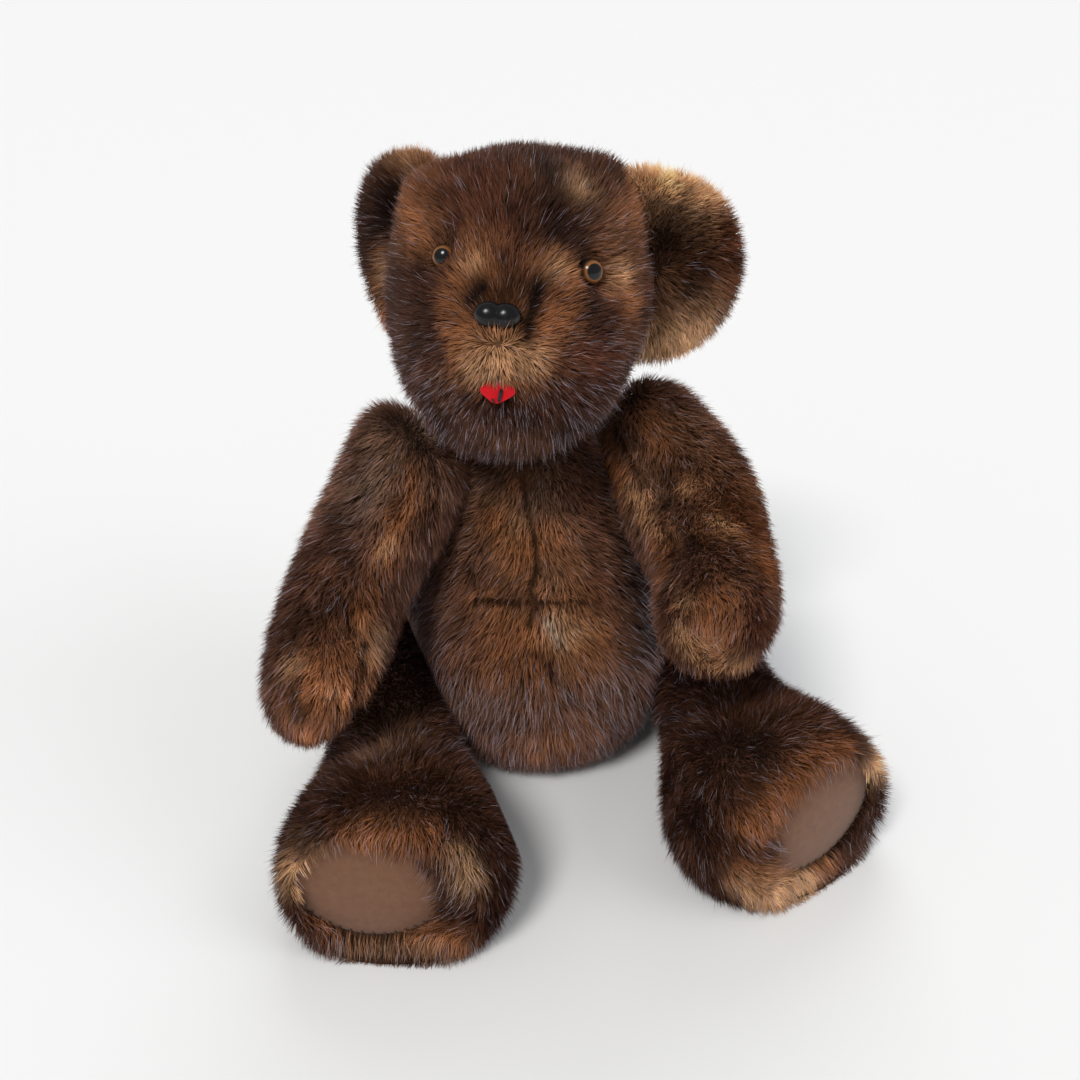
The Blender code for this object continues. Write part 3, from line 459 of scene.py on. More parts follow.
def capped_faces(columns, rows, outward):
    """Triangles of rings joined in a chain and closed by a point at each end, with their UV places.

    The first and last vertices are the two end points, and the rings lie between them.
    """
    ring, column = np.meshgrid(np.arange(rows - 1), np.arange(columns), indexing="ij")
    a = 1 + ring * columns + column
    b = 1 + ring * columns + (column + 1) % columns
    c, d = a + columns, b + columns
    last = 1 + rows * columns
    around = np.arange(columns)
    first_cap = np.stack((np.zeros(columns, int), 1 + (around + 1) % columns, 1 + around), 1)
    base = last - columns
    last_cap = np.stack((np.full(columns, last), base + around, base + (around + 1) % columns), 1)
    faces = np.vstack((
        first_cap, np.stack((a, b, d), -1).reshape(-1, 3), np.stack((a, d, c), -1).reshape(-1, 3), last_cap,
    ))
    u0, u1, um = column / columns, (column + 1) / columns, (around + 0.5) / columns
    v0, v1 = (ring + 1) / (rows + 1), (ring + 2) / (rows + 1)
    edge0, edge1 = around / columns, (around + 1) / columns
    top, low = np.full(columns, 1 / (rows + 1)), np.full(columns, rows / (rows + 1))
    corners = np.vstack((
        np.stack((um, 0 * um, edge1, top, edge0, top), -1),
        np.stack((u0, v0, u1, v0, u1, v1), -1).reshape(-1, 6),
        np.stack((u0, v0, u1, v1, u0, v1), -1).reshape(-1, 6),
        np.stack((um, 0 * um + 1, edge0, low, edge1, low), -1),
    )).reshape(-1, 3, 2)
    if not outward:
        faces, corners = faces[:, ::-1], corners[:, ::-1]
    return faces, corners


def capped_surface(name, point_at, grid, finish):
    """A closed surface: rings of point_at(u, v) from v = 0 to 1, each end drawn into one point."""
    columns, rows = grid
    u, v = np.meshgrid(np.arange(columns) / columns, np.arange(rows + 2) / (rows + 1), indexing="xy")
    points = point_at(u, v)
    flat = np.vstack((points[0].mean(0)[None], points[1:-1].reshape(-1, 3), points[-1].mean(0)[None]))
    faces, corners = capped_faces(columns, rows, True)
    tri = flat[faces]
    middle = flat.mean(0)
    volume = (np.cross(tri[:, 1] - tri[:, 0], tri[:, 2] - tri[:, 0]) * (tri[:, 0] - middle)).sum()
    if volume < 0:
        faces, corners = capped_faces(columns, rows, False)
    obj = new_object(name, flat, faces, finish)
    unwrap(obj, corners)
    return obj


STEEP = 0.8  # rise of a thread past which its sides are taken from X instead of Z
THREAD_TAPER, THREAD_END, THREAD_SIDES = 8, 0.05, 6


def tube_points(path, radius, sides):
    """Rings of a round thread along a path, with its ends drawn in, as (ring, side) points."""
    path = np.asarray(path, float)
    tangent = unit(np.gradient(path, axis=0))
    steep = np.abs(tangent[:, 2:]) >= STEEP
    side = unit(np.cross(tangent, np.where(steep, (1.0, 0, 0), (0.0, 0, 1))))
    other = np.cross(tangent, side)
    angle = np.arange(sides) / sides * 2 * math.pi
    end = np.sqrt(np.clip(1 - np.abs(np.linspace(-1, 1, len(path))) ** THREAD_TAPER, THREAD_END, 1))
    round_points = np.cos(angle)[:, None] * side[:, None] + np.sin(angle)[:, None] * other[:, None]
    return path[:, None] + radius * end[:, None, None] * round_points


def threads(name, paths, radius, finish):
    """One object of many short threads, each a closed tube along its path."""
    points, faces, corners, start = [], [], [], 0
    for index, path in enumerate(paths):
        rings = tube_points(path, radius, THREAD_SIDES)
        flat = np.vstack((path[0], rings.reshape(-1, 3), path[-1]))
        tris, places = capped_faces(THREAD_SIDES, len(rings), False)
        points.append(flat)
        faces.append(tris + start)
        corners.append((places + (index, 0)) / (len(paths), 1))
        start += len(flat)
    obj = new_object(name, np.vstack(points), np.vstack(faces), finish)
    unwrap(obj, np.vstack(corners))
    return obj


# Fur

PILE, SQUASHED_PILE, SQUASH = 4.6 * MM, 2.0 * MM, 3 * MM  # tips down to leather, free and pressed
ROOT_SINK, ROOT_COVER = 1.2 * MM, 0.3 * MM
JOINT_SLACK, SOLE_SLACK = 3.0 * MM, 5.0 * MM  # how far hair may lie past a joint's plane and a sole's
STRAIGHT_DOWN = -0.999
FLOOR_GAP = 0.3 * MM
SPREAD_CELLS = 180

# Clumps of a few hairs and locks of a few clumps: size, bend of their borders, and its wave
CLUMP, LOCK, CLUMP_BEND, CLUMP_WAVE = 2.0 * MM, 9.0 * MM, 0.6, 3
GRID_MIDDLE, GRID_ROW = 4000, 8191

# How the hairs of one coat differ: ranges and spreads, by hair, by clump, by lock or by a slow wave
LENGTHS, CLUMP_LENGTHS, WIDTHS = (0.78, 1.16), (0.88, 1.1), (0.8, 1.25)
LEAN_SPREAD, CLUMP_LEAN_SPREAD, LEAN_WAVE, LEAN_SWAY = 0.11, 0.08, 0.03, 0.10
TURN_SPREAD, CLUMP_TURN_SPREAD, LOCK_TURN_SPREAD, TURN_WAVE, TURN_SWAY = 0.18, 0.17, 0.16, 0.040, 0.50
SHADE_SPREAD, CLUMP_SHADE_SPREAD, LOCK_SHADE_SPREAD, SHADE_WAVE, SHADE_SWAY = 0.17, 0.10, 0.12, 0.016, 0.28
DRAWN, GUARD_DRAWN, WAIST_DRAWN = (0.02, 0.14), 0.03, 0.4  # how far tips draw together
TURN_SEED, SHADE_SEED, LEAN_SEED, CLUMP_SEED, LOCK_SEED = 3, 5, 7, 11, 23  # added to the coat's seed
HAIR_TWIST = math.radians(62)

# A hair: less lean up to its waist and more past it, with the least and most, and where the waist is
LOW_LEAN, LOW_LEAN_LIMITS = -0.26, (0.08, 1.3)
HIGH_LEAN, HIGH_LEAN_LIMITS = 0.30, (0.15, 1.48)
WAIST = 0.42
TIP_LIGHT = 1.3
GUARD_LENGTH, GUARD_WIDTH, GUARD_WAIST_PALE, GUARD_TIP_PALE = 1.3, 0.55, 0.3, 0.65

# A seam's bare line, how much painted shade darkens its parting, and the lean of the hair beside it
SEAM_HALF_WIDTH, SEAM_SHORTEST, SEAM_SOFTNESS = 0.45 * MM, 0.3, 0.45
SEAM_DARKENING, SEAM_DARKEST, SEAM_LEAN = 2, 0.93, 0.25

# Colour: how the brown mingles with a coat's base, and how ragged the edges of its patches are
MINGLE_WAVE, MINGLE_FROM, MINGLE_SHARE = 0.028, 0.35, 0.38
RAGGED_WAVE, RAGGED = 0.016, 0.28

# The hair's own UV places: bands from pole to pole in which hairs follow each other, and a kite each
UV_BANDS = 40
KITE = np.array(((0.5, 0.06), (0.94, 0.5), (0.06, 0.5), (0.06, 0.5), (0.94, 0.5), (0.5, 0.94)))


def pile_depth(pressed):
    """Depth of the leather below the tips: thin where a joint presses the fur."""
    return PILE + (SQUASHED_PILE - PILE) * ease(pressed, 0, SQUASH)


def leather(name, form, grid, finish, deeper=None):
    """The sewn skin under the fur: the form's surface moved in by the depth of the pile."""

    def point_at(u, v):
        points, normals, _, pressed = form.at(u, v)
        depth = pile_depth(pressed)
        if deeper:
            depth = depth + deeper(points)
        return points - depth[..., None] * normals

    return capped_surface(name, point_at, grid, finish)


def spread_over(form, count, rng):
    """Places (u, v) spread evenly over the form: even steps along the summed areas of its cells."""
    cells = SPREAD_CELLS
    edge = np.linspace(0, 1, cells + 1)
    u, v = np.meshgrid(edge, edge, indexing="ij")
    points, _ = form.outer(u, v)
    across = points[1:, :-1] - points[:-1, :-1]
    ahead = points[:-1, 1:] - points[:-1, :-1]
    total = np.cumsum(np.linalg.norm(np.cross(across, ahead), axis=-1).ravel())
    picks = (np.arange(count) + rng.random(count)) / count * total[-1]
    cell = np.minimum(np.searchsorted(total, picks), cells * cells - 1)
    return (cell // cells + rng.random(count)) / cells, (cell % cells + rng.random(count)) / cells


def clump_of(points, size, seed):
    """The number of each point's clump: the box of a bent grid that it lies in."""
    waves = np.stack([ripple(points, size * CLUMP_WAVE, seed + i) for i in range(3)], -1)
    cell = np.floor((points + size * CLUMP_BEND * waves) / size).astype(np.int64) + GRID_MIDDLE
    key = (cell[:, 0] * GRID_ROW + cell[:, 1]) * GRID_ROW + cell[:, 2]
    return np.unique(key, return_inverse=True)[1].reshape(-1)


def clump_mean(values, clump):
    """The mean of the values of each clump, given back to each of its members."""
    count = np.maximum(np.bincount(clump), 1)
    sums = [np.bincount(clump, weights=column) / count for column in values.T]
    return np.stack(sums, -1)[clump]


def held_back(points, form):
    """Points past a joint's plane crowd just beyond it, and none goes under the floor.

    A point b beyond goes back to s (1 - exp(-b / s)). Hair may hang past a plane that faces straight
    down, such as the neck's.
    """
    for middle, normal, squashes in form.planes:
        if normal[2] < STRAIGHT_DOWN:
            continue
        beyond = (points - middle) @ normal
        slack = JOINT_SLACK if squashes else SOLE_SLACK
        eased = np.where(beyond > 0, slack * (1 - np.exp(-np.maximum(beyond, 0) / slack)), beyond)
        points = points + (eased - beyond)[..., None] * normal
    points[..., 2] = np.maximum(points[..., 2], FLOOR_GAP)
    return points


def given(value, points):
    """The value for each point, from a number or from a function of the points."""
    return value(points) if callable(value) else np.full(len(points), value)


def off_seams(points, partings):
    """Whether each point is off the bare lines of the seams."""
    grows = np.full(len(points), True)
    for start, end, _, _, short in partings:
        offset, facing = off_seam(points, start, end)
        if short > SEAM_SHORTEST:
            grows &= (np.linalg.norm(offset, axis=-1) > SEAM_HALF_WIDTH) | ~facing
    return grows


def seam_painted_shade(points, partings):
    """Share of its colour that each point keeps: little along a seam, as painted shade in its parting where
    the hair's roots show.
    """
    light = np.ones(points.shape[:-1])
    for start, end, reach, _, short in partings:
        offset, facing = off_seam(points, start, end)
        near = np.exp(-((np.linalg.norm(offset, axis=-1) / (SEAM_SOFTNESS * reach)) ** 2))
        light = light * (1 - facing * min(SEAM_DARKEST, SEAM_DARKENING * short) * near)
    return light


def by_group(spread, group, rng):
    """A normal random number for each group, given to all its members."""
    return rng.normal(0, spread, group.max() + 1)[group]


def bent(normals, flow, lean):
    """Unit directions that lean from the normal towards the flow, by angles in radians."""
    return normals * np.cos(lean)[:, None] + flow * np.sin(lean)[:, None]


def fur(name, form, coat, finish):
    """Fine flat hairs, each a root, two points across its waist and a tip, in two triangles.

    The root is under the leather's face. The waist is the root plus a share of the hair's length along
    a lean from the normal towards the coat's flow, and the tip is the waist plus the rest of it along
    a larger lean. Tips then draw towards the mean of their clump.
    """
    rng = np.random.default_rng(coat.seed)
    u, v = spread_over(form, int(coat.count * fur_share()), rng)
    points, normals, ahead, pressed = form.at(u, v)
    keep = coat.keep(points) & off_seams(points, coat.partings)
    points, normals, ahead, pressed, u, v = (item[keep] for item in (points, normals, ahead, pressed, u, v))
    count = len(points)
    roots = points - (pile_depth(pressed) + ROOT_SINK)[:, None] * normals
    flow = coat.flow(points, normals, ahead)
    length = coat.length * coat.grown(points) * rng.uniform(*LENGTHS, count)
    lean = given(coat.lean, points) + LEAN_SWAY * ripple(points, LEAN_WAVE, coat.seed + LEAN_SEED)
    for start, end, reach, push, short in coat.partings:
        offset, facing = off_seam(points, start, end)
        near = facing * (1 - ease(np.linalg.norm(offset, axis=-1), 0, reach))
        flow = flow + push * near[:, None] * unit(offset)
        length = length * (1 - short * near)
        lean = lean + SEAM_LEAN * near * np.sign(push)
    flow = unit(flow - normals * dot(flow, normals))
    clump = clump_of(points, CLUMP, coat.seed + CLUMP_SEED)
    lock = clump_of(points, LOCK, coat.seed + LOCK_SEED)
    turn = by_group(CLUMP_TURN_SPREAD, clump, rng) + by_group(LOCK_TURN_SPREAD, lock, rng)
    sway = TURN_SWAY * ripple(points, TURN_WAVE, coat.seed + TURN_SEED)
    flow = turned(flow, normals, sway + turn + rng.normal(0, TURN_SPREAD, count))
    lean = lean + rng.normal(0, LEAN_SPREAD, count) + by_group(CLUMP_LEAN_SPREAD, clump, rng)
    length = length * rng.uniform(*CLUMP_LENGTHS, clump.max() + 1)[clump]
    guard = rng.random(count) < given(coat.guard, points)
    length = np.where(guard, length * GUARD_LENGTH, length) + ROOT_SINK + ROOT_COVER
    half = WAIST * length[:, None]
    waist = roots + half * bent(normals, flow, np.clip(lean + LOW_LEAN, *LOW_LEAN_LIMITS))
    rest = length[:, None] - half
    tips = waist + rest * bent(normals, flow, np.clip(lean + HIGH_LEAN, *HIGH_LEAN_LIMITS))
    drawn = np.where(guard, GUARD_DRAWN, rng.uniform(*DRAWN, count))[:, None]
    tips = tips + drawn * (clump_mean(tips, clump) - tips)
    waist = waist + WAIST_DRAWN * drawn * (clump_mean(waist, clump) - waist)
    axis = unit(tips - roots)
    across = turned(unit(np.cross(axis, normals)), axis, rng.uniform(-1, 1, count) * HAIR_TWIST)
    side = across * (coat.wide * np.where(guard, GUARD_WIDTH, 1) * rng.uniform(*WIDTHS, count))[:, None]
    shape = held_back(np.stack((roots, waist + side, waist - side, tips), 1), form)
    corner = np.arange(count, dtype=np.int64)[:, None] * 4
    faces = np.concatenate((corner + (0, 1, 2), corner + (2, 1, 3)), 1).reshape(-1, 3)
    obj = new_object(name, shape.reshape(-1, 3), faces, finish)
    tone = coat.tone(points) * (1 + SHADE_SWAY * ripple(points, SHADE_WAVE, coat.seed + SHADE_SEED))[:, None]
    shades = by_group(CLUMP_SHADE_SPREAD, clump, rng) + by_group(LOCK_SHADE_SPREAD, lock, rng)
    tone = tone * np.exp(shades)[:, None]
    tone = tone * np.exp(rng.normal(0, SHADE_SPREAD, count))[:, None]
    # Partly painted sheen: the cool pale tone stands for the guard hairs' own light tips and for the sky's
    # sheen on them
    pale = np.array(fur_settings().guard_tip_and_sheen)
    guard = guard[:, None]
    middle = np.where(guard, (1 - GUARD_WAIST_PALE) * tone + GUARD_WAIST_PALE * pale, tone)
    tip = np.where(guard, (1 - GUARD_TIP_PALE) * tone + GUARD_TIP_PALE * pale, tone * TIP_LIGHT)
    # Painted shade: each hair's root is darker than its middle, for the shade deep in the pile
    colours = np.stack((tone * coat.root, middle, middle, tip), 1)
    colours = colours * seam_painted_shade(shape, coat.partings)[..., None]
    paint(obj, "coat", np.clip(colours.reshape(-1, 3), 0, 1))
    place = np.argsort(np.argsort(np.floor(v * UV_BANDS) * 2 + u, kind="stable"), kind="stable")
    columns = math.ceil(math.sqrt(count))
    cell = np.stack((place % columns, place // columns), -1)[:, None]
    unwrap(obj, (cell + KITE) / columns)
    return obj


class Coat:
    """How one form's fur grows: how many hairs, how long, which way, and in what colours."""

    wide = 0.19 * MM  # half width of a hair at its waist

    def __init__(self, count, seed, length, flow, tone, lean=0.48, guard=0.035, grown=None,
                 keep=None, partings=(), root=0.40):
        self.count, self.seed, self.length, self.lean = count, seed, length, lean
        self.root = root  # painted shade: the tone at the hairs' roots, as a share of that at their middles, darker for the shade deep in the pile
        self.guard, self.flow, self.tone, self.partings = guard, flow, tone, partings
        self.grown = grown or (lambda points: 1.0)
        self.keep = keep or (lambda points: np.full(len(points), True))


def fur_settings():
    """The colours, lengths and numbers of the hairs."""
    return bpy.context.scene.mink_bear.fur


def fur_share():
    return 1.0


def patched(base, patches, seed):
    """A colour for each point: the base, and over it each patch times exp(-(distance / radius)^2)."""

    def tone(points):
        settings = fur_settings()
        colours = np.tile(np.array(getattr(settings, base)), (len(points), 1))
        mixed = MINGLE_SHARE * ease(0.5 + 0.5 * ripple(points, MINGLE_WAVE, seed), MINGLE_FROM, 1)
        colours = colours + (np.array(settings.brown) - colours) * mixed[:, None]
        ragged = 1 + RAGGED * ripple(points, RAGGED_WAVE, seed + 1)
        for patch, start, end, radius, strength in patches:
            away = np.linalg.norm(off_place(points, start, end), axis=-1) * ragged
            weight = strength * np.exp(-((away / radius) ** 2))
            colours = colours + (np.array(getattr(settings, patch)) - colours) * weight[:, None]
        return colours

    return tone


def spot(tone, place, radius, strength=0.8):
    """A round patch."""
    return tone, place, place, radius, strength


# Patches of colour in the fur, as the photograph shows them: tone, the two ends of a soft stroke in
# metres, its radius and its strength

TORSO_PATCHES = (
    ("dark", (-.040, -.034, .165), (.030, -.034, .165), .014, .85),
    # Painted shade: these two sable strokes darken the belly in the shadow between it and the left arm
    ("sable", (.037, -.045, .155), (.045, -.050, .080), .015, .9),
    ("sable", (.050, -.036, .125), (.052, -.036, .080), .017, 1),
    ("dark", (-.058, -.030, .140), (-.062, -.030, .070), .013, .8),
    ("brown", (-.010, -.058, .120), (-.010, -.060, .080), .030, .8),
    ("brown", (-.010, -.042, .162), (-.008, -.054, .128), .024, 1),
    ("orange", (-.012, -.044, .156), (-.010, -.052, .134), .018, .45),
    ("mahogany", (.012, -.046, .150), (.016, -.056, .118), .012, .5),
    ("pale", (-.012, -.044, .156), (-.008, -.054, .126), .020, .14),
    ("orange", (-.026, -.044, .150), (-.012, -.050, .140), .010, .95),
    ("orange", (-.018, -.050, .140), (-.013, -.054, .126), .010, .8),
    spot("tan", (-.0160, -.0450, .1470), .006, .5),
    spot("orange", (-.0135, -.0400, .1660), .006, .8),
    ("orange", (-.001, -.050, .142), (.006, -.053, .126), .009, .7),
    ("orange", (-.036, -.048, .113), (.012, -.059, .113), .007, .7),
    ("orange", (-.020, -.061, .098), (.010, -.063, .094), .014, .9),
    spot("tan", (.0015, -.0630, .0960), .009, .8),
    ("pale", (-.006, -.062, .104), (-.0015, -.064, .093), .0028, .55),
    ("orange", (-.030, -.057, .080), (.014, -.064, .078), .013, .45),
    ("dark", (-.012, -.063, .088), (-.004, -.065, .074), .0035, .6),
    ("orange", (-.012, -.062, .034), (.004, -.062, .034), .012, .6),
    ("umber", (-.010, .066, .150), (-.010, .068, .040), .030, .5),
)
HEAD_PATCHES = (
    spot("tan", (.0156, -.0307, .2895), .0075, .75),
    spot("brown", (.000, -.030, .292), .020, .5),
    spot("brown", (-.0153, -.0608, .2726), .016, .6),
    ("mahogany", (-.022, -.020, .294), (-.018, -.050, .282), .016, .45),
    ("sable", (.0068, -.0205, .2960), (-.0002, -.0536, .2780), .0080, .85),
    ("orange", (.0425, -.0123, .2780), (.0323, -.0386, .2700), .012, .65),
    ("brown", (.0323, -.0386, .2686), (.0345, -.0500, .2346), .014, .7),
    ("orange", (.0286, -.0492, .2596), (.0319, -.0504, .2469), .008, .7),
    spot("tan", (.0290, -.0480, .2600), .0055, .75),
    ("orange", (-.0380, .0057, .2872), (-.0451, -.0130, .2812), .012, .65),
    ("orange", (-.0475, -.0209, .2776), (-.0487, -.0300, .2712), .009, .75),
    ("dark", (-.0506, -.0398, .2613), (-.0543, -.0538, .2319), .010, .8),
    ("orange", (-.0309, -.0505, .2755), (-.0288, -.0628, .2672), .0075, .85),
    spot("tan", (-.0305, -.0560, .2716), .0045, .75),
    ("orange", (-.0020, -.0616, .2696), (.0052, -.0659, .2600), .007, .8),
    spot("tan", (-.0010, -.0625, .2686), .005, .65),
    ("dark", (.0101, -.0655, .2543), (.0150, -.0657, .2465), .006, .8),
    ("orange", (-.0399, -.0596, .2613), (-.0387, -.0685, .2540), .007, .8),
    ("orange", (-.036, -.080, .246), (-.012, -.083, .244), .014, .95),
    ("orange", (-.0094, -.0757, .2553), (.0011, -.0718, .2529), .008, .85),
    ("tan", (-.0365, -.0812, .2411), (-.0285, -.0843, .2415), .0065, .85),
    ("tan", (-.0300, -.0860, .2465), (-.0160, -.0870, .2465), .0055, .80),
    spot("tan", (-.0114, -.0839, .2407), .0065, .8),
    ("sable", (-.0347, -.0663, .2606), (-.0293, -.0654, .2650), .0042, 1),
    ("sable", (-.0157, -.0808, .2507), (-.0079, -.0685, .2641), .0042, 1),
    ("dark", (-.0146, -.0391, .2888), (-.0095, -.0516, .2804), .0022, .7),
    ("mahogany", (.006, -.074, .232), (.024, -.058, .232), .014, .5),
    ("brown", (-.0292, -.0789, .2065), (-.0105, -.0742, .2020), .010, .7),
    ("dark", (-.040, -.080, .220), (-.005, -.082, .218), .010, .8),
)
EAR_PATCHES = {
    "left": (
        ("orange", (.044, -.008, .282), (.0762, -.0130, .2780), .022, 1),
        ("tan", (.0440, -.0060, .2900), (.0780, -.0100, .2860), .022, 1),
        ("straw", (.0520, -.0060, .2920), (.0740, -.0100, .2880), .018, 1),
        ("sable", (.0600, -.0124, .2590), (.0694, -.0124, .2400), .0135, .85),
        ("mahogany", (.0872, -.0138, .2652), (.0890, -.0139, .2404), .009, .9),
        ("orange", (.0500, -.0118, .2250), (.0611, -.0127, .2160), .012, 1),
        ("tan", (.0500, -.0127, .2150), (.0758, -.0131, .2150), .014, 1),
        ("straw", (.0520, -.0127, .2140), (.0700, -.0131, .2140), .010, .6),
        ("brown", (.066, .006, .25), (.066, .006, .23), .03, .5),
    ),
    "right": (
        ("orange", (-.0504, .0198, .2904), (-.036, .006, .290), .013, .95),
        ("tan", (-.0480, .0207, .2945), (-.038, .006, .290), .010, .95),
        ("sable", (-.0546, .0255, .2774), (-.0658, .0410, .2490), .011, .9),
        ("orange", (-.0603, .0332, .2461), (-.0624, .0346, .2364), .0085, .6),
        ("tan", (-.0603, .0332, .2451), (-.0614, .0346, .2384), .005, .5),
        ("orange", (-.062, .034, .224), (-.058, .030, .218), .010, .9),
        ("dark", (-.070, .046, .280), (-.073, .050, .245), .009, .7),
    ),
}
ARM_PATCHES = {
    "left": (
        ("dark", (.085, -.020, .175), (.098, -.090, .130), .012, .35),
        ("brown", (.062, -.052, .176), (.076, -.092, .156), .020, .9),
        ("brown", (.090, -.060, .160), (.090, -.100, .140), .016, .8),
        ("orange", (.060, -.050, .176), (.080, -.080, .160), .018, .22),
        # Painted light: this orange patch lightens the outer side of the arm, away from the key light
        ("orange", (.078, -.060, .165), (.092, -.096, .146), .018, .30),
        ("pale", (.040, -.031, .182), (.056, -.050, .174), .016, .10),
        ("pale", (.036, -.050, .157), (.038, -.080, .145), .012, .12),
        ("brown", (.0458, -.0308, .1857), (.0540, -.0480, .1760), .017, 1),
        ("orange", (.0458, -.0308, .1857), (.0500, -.0400, .1790), .008, .55),
        ("orange", (.0287, -.0170, .1706), (.0320, -.0366, .1613), .0090, .9),
        ("orange", (.0320, -.0366, .1613), (.0406, -.0746, .1487), .0085, 1),
        ("orange", (.0406, -.0746, .1487), (.0357, -.0867, .1404), .0085, .95),
        ("tan", (.0350, -.0440, .1590), (.0398, -.0700, .1490), .0050, .75),
        spot("orange", (.0587, -.0602, .1681), .0065, 1),
        spot("tan", (.0587, -.0602, .1681), .0040, .6),
        ("orange", (.0605, -.0862, .1586), (.0700, -.0810, .1600), .0080, 1),
        spot("tan", (.0668, -.0831, .1595), .0055, .85),
        spot("orange", (.0803, -.1003, .1478), .0075, 1),
        # Painted shade: a sable stroke along the fold of the arm
        ("sable", (.0469, -.0838, .1540), (.0600, -.0940, .1550), .0060, .55),
        spot("sable", (.0577, -.0700, .1629), .0050, .5),
        spot("sable", (.0790, -.0500, .1680), .0070, .35),
        spot("sable", (.0493, -.0548, .1685), .0060, .7),
        spot("orange", (.0498, -.1218, .1450), .0150, .9),
        spot("tan", (.0391, -.1125, .1435), .0048, .8),
        spot("tan", (.0363, -.1174, .1328), .0048, .75),
        ("tan", (.0380, -.1211, .1265), (.0489, -.1279, .1240), .0065, 1),
        spot("orange", (.0550, -.1298, .1254), .0070, .9),
        ("tan", (.0480, -.1276, .1185), (.0651, -.1283, .1165), .0065, 1),
        ("mahogany", (.0753, -.1213, .1364), (.0699, -.1286, .1272), .0090, .6),
    ),
    "right": (
        ("dark", (-.118, -.040, .150), (-.130, -.070, .110), .012, .7),
        spot("brown", (-.0801, -.0423, .1713), .0090, .8),
        ("brown", (-.0700, -.0325, .1850), (-.0528, -.0205, .1853), .0160, 1),
        spot("orange", (-.0650, -.0325, .1860), .0080, .5),
        ("pale", (-.0640, -.0290, .1860), (-.0760, -.0420, .1720), .016, .14),
        spot("tan", (-.0528, -.0225, .1853), .0045, .6),
        spot("sable", (-.0564, -.0339, .1847), .0045, .8),
        ("orange", (-.0608, -.0412, .1781), (-.0628, -.0489, .1627), .0065, .7),
        ("orange", (-.0687, -.0507, .1619), (-.0752, -.0600, .1455), .0070, .95),
        spot("tan", (-.0745, -.0569, .1512), .0050, .7),
        ("orange", (-.0834, -.0695, .1347), (-.0893, -.0745, .1311), .0065, .9),
        spot("orange", (-.1026, -.0584, .1459), .0080, .35),
        ("dark", (-.100, -.046, .160), (-.108, -.060, .140), .012, .4),
        # Painted shade: a sable stroke along the fold of the arm
        ("sable", (-.1158, -.0739, .1287), (-.0943, -.0732, .1352), .0075, .85),
        ("sable", (-.0960, -.0480, .1620), (-.0900, -.0600, .1500), .0060, .5),
        ("orange", (-.0868, -.0769, .1272), (-.0897, -.0905, .1073), .0085, 1),
        spot("tan", (-.0800, -.0770, .1150), .0090, .50),
        spot("pale", (-.0800, -.0770, .1150), .0080, .12),
        spot("orange", (-.1054, -.0929, .1159), .0140, 1),
        ("orange", (-.0988, -.0990, .1025), (-.1105, -.0987, .1096), .0100, .9),
        spot("tan", (-.1040, -.0960, .1090), .0060, .35),
        spot("tan", (-.1208, -.0863, .1173), .0050, .7),
        spot("orange", (-.1190, -.1009, .0910), .0090, .95),
        ("sable", (-.1195, -.0940, .1123), (-.1197, -.1006, .1016), .0040, .7),
    ),
}
LEG_PATCHES = {
    "left": (
        ("umber", (.080, -.060, .075), (.085, -.125, .075), .045, .35),
        ("orange", (.0607, -.1560, .0549), (.0847, -.1479, .0698), .0080, .9),
        ("orange", (.095, -.142, .072), (.1084, -.1340, .0703), .0085, .8),
        spot("tan", (.1278, -.1308, .0500), .011, 1),
        spot("straw", (.1278, -.1308, .0500), .007, .6),
        ("orange", (.0564, -.1605, .0281), (.0971, -.1480, .0100), .010, 1),
        ("tan", (.0564, -.1625, .0201), (.0901, -.1520, .0070), .009, 1),
        spot("dark", (.0716, -.1310, .0763), .006, .7),
        ("brown", (.066, -.100, .070), (.10, -.115, .070), .016, .7),
    ),
    "right": (
        ("umber", (-.080, -.060, .075), (-.085, -.125, .075), .045, .35),
        ("orange", (-.1044, -.1394, .0705), (-.0725, -.1480, .0696), .0080, .85),
        spot("tan", (-.1250, -.1350, .0450), .012, 1),
        spot("straw", (-.1250, -.1350, .0450), .009, .8),
        ("tan", (-.0602, -.1543, .0600), (-.0585, -.1560, .0480), .007, .75),
        ("orange", (-.1204, -.1390, .0232), (-.0687, -.1556, .0160), .009, .95),
        ("dark", (-.0960, -.1500, .0160), (-.0950, -.1500, .0060), .005, .75),
        ("tan", (-.1104, -.1430, .0092), (-.0757, -.1556, .0090), .007, .20),
        spot("dark", (-.1062, -.1316, .0729), .005, .8),
        spot("orange", (-.0976, -.0900, .0750), .010, .6),
        ("brown", (-.0944, -.1150, .0771), (-.0570, -.1150, .0699), .014, .6),
        # Painted light: these three patches lighten the thigh where it lies in the shade under the arm
        ("brown", (-.0850, -.0500, .0750), (-.0900, -.0850, .0740), .022, 1),
        ("orange", (-.0700, -.0600, .0780), (-.0900, -.0850, .0740), .014, .45),
        ("pale", (-.0750, -.0550, .0770), (-.0900, -.0850, .0740), .016, .12),
    ),
}


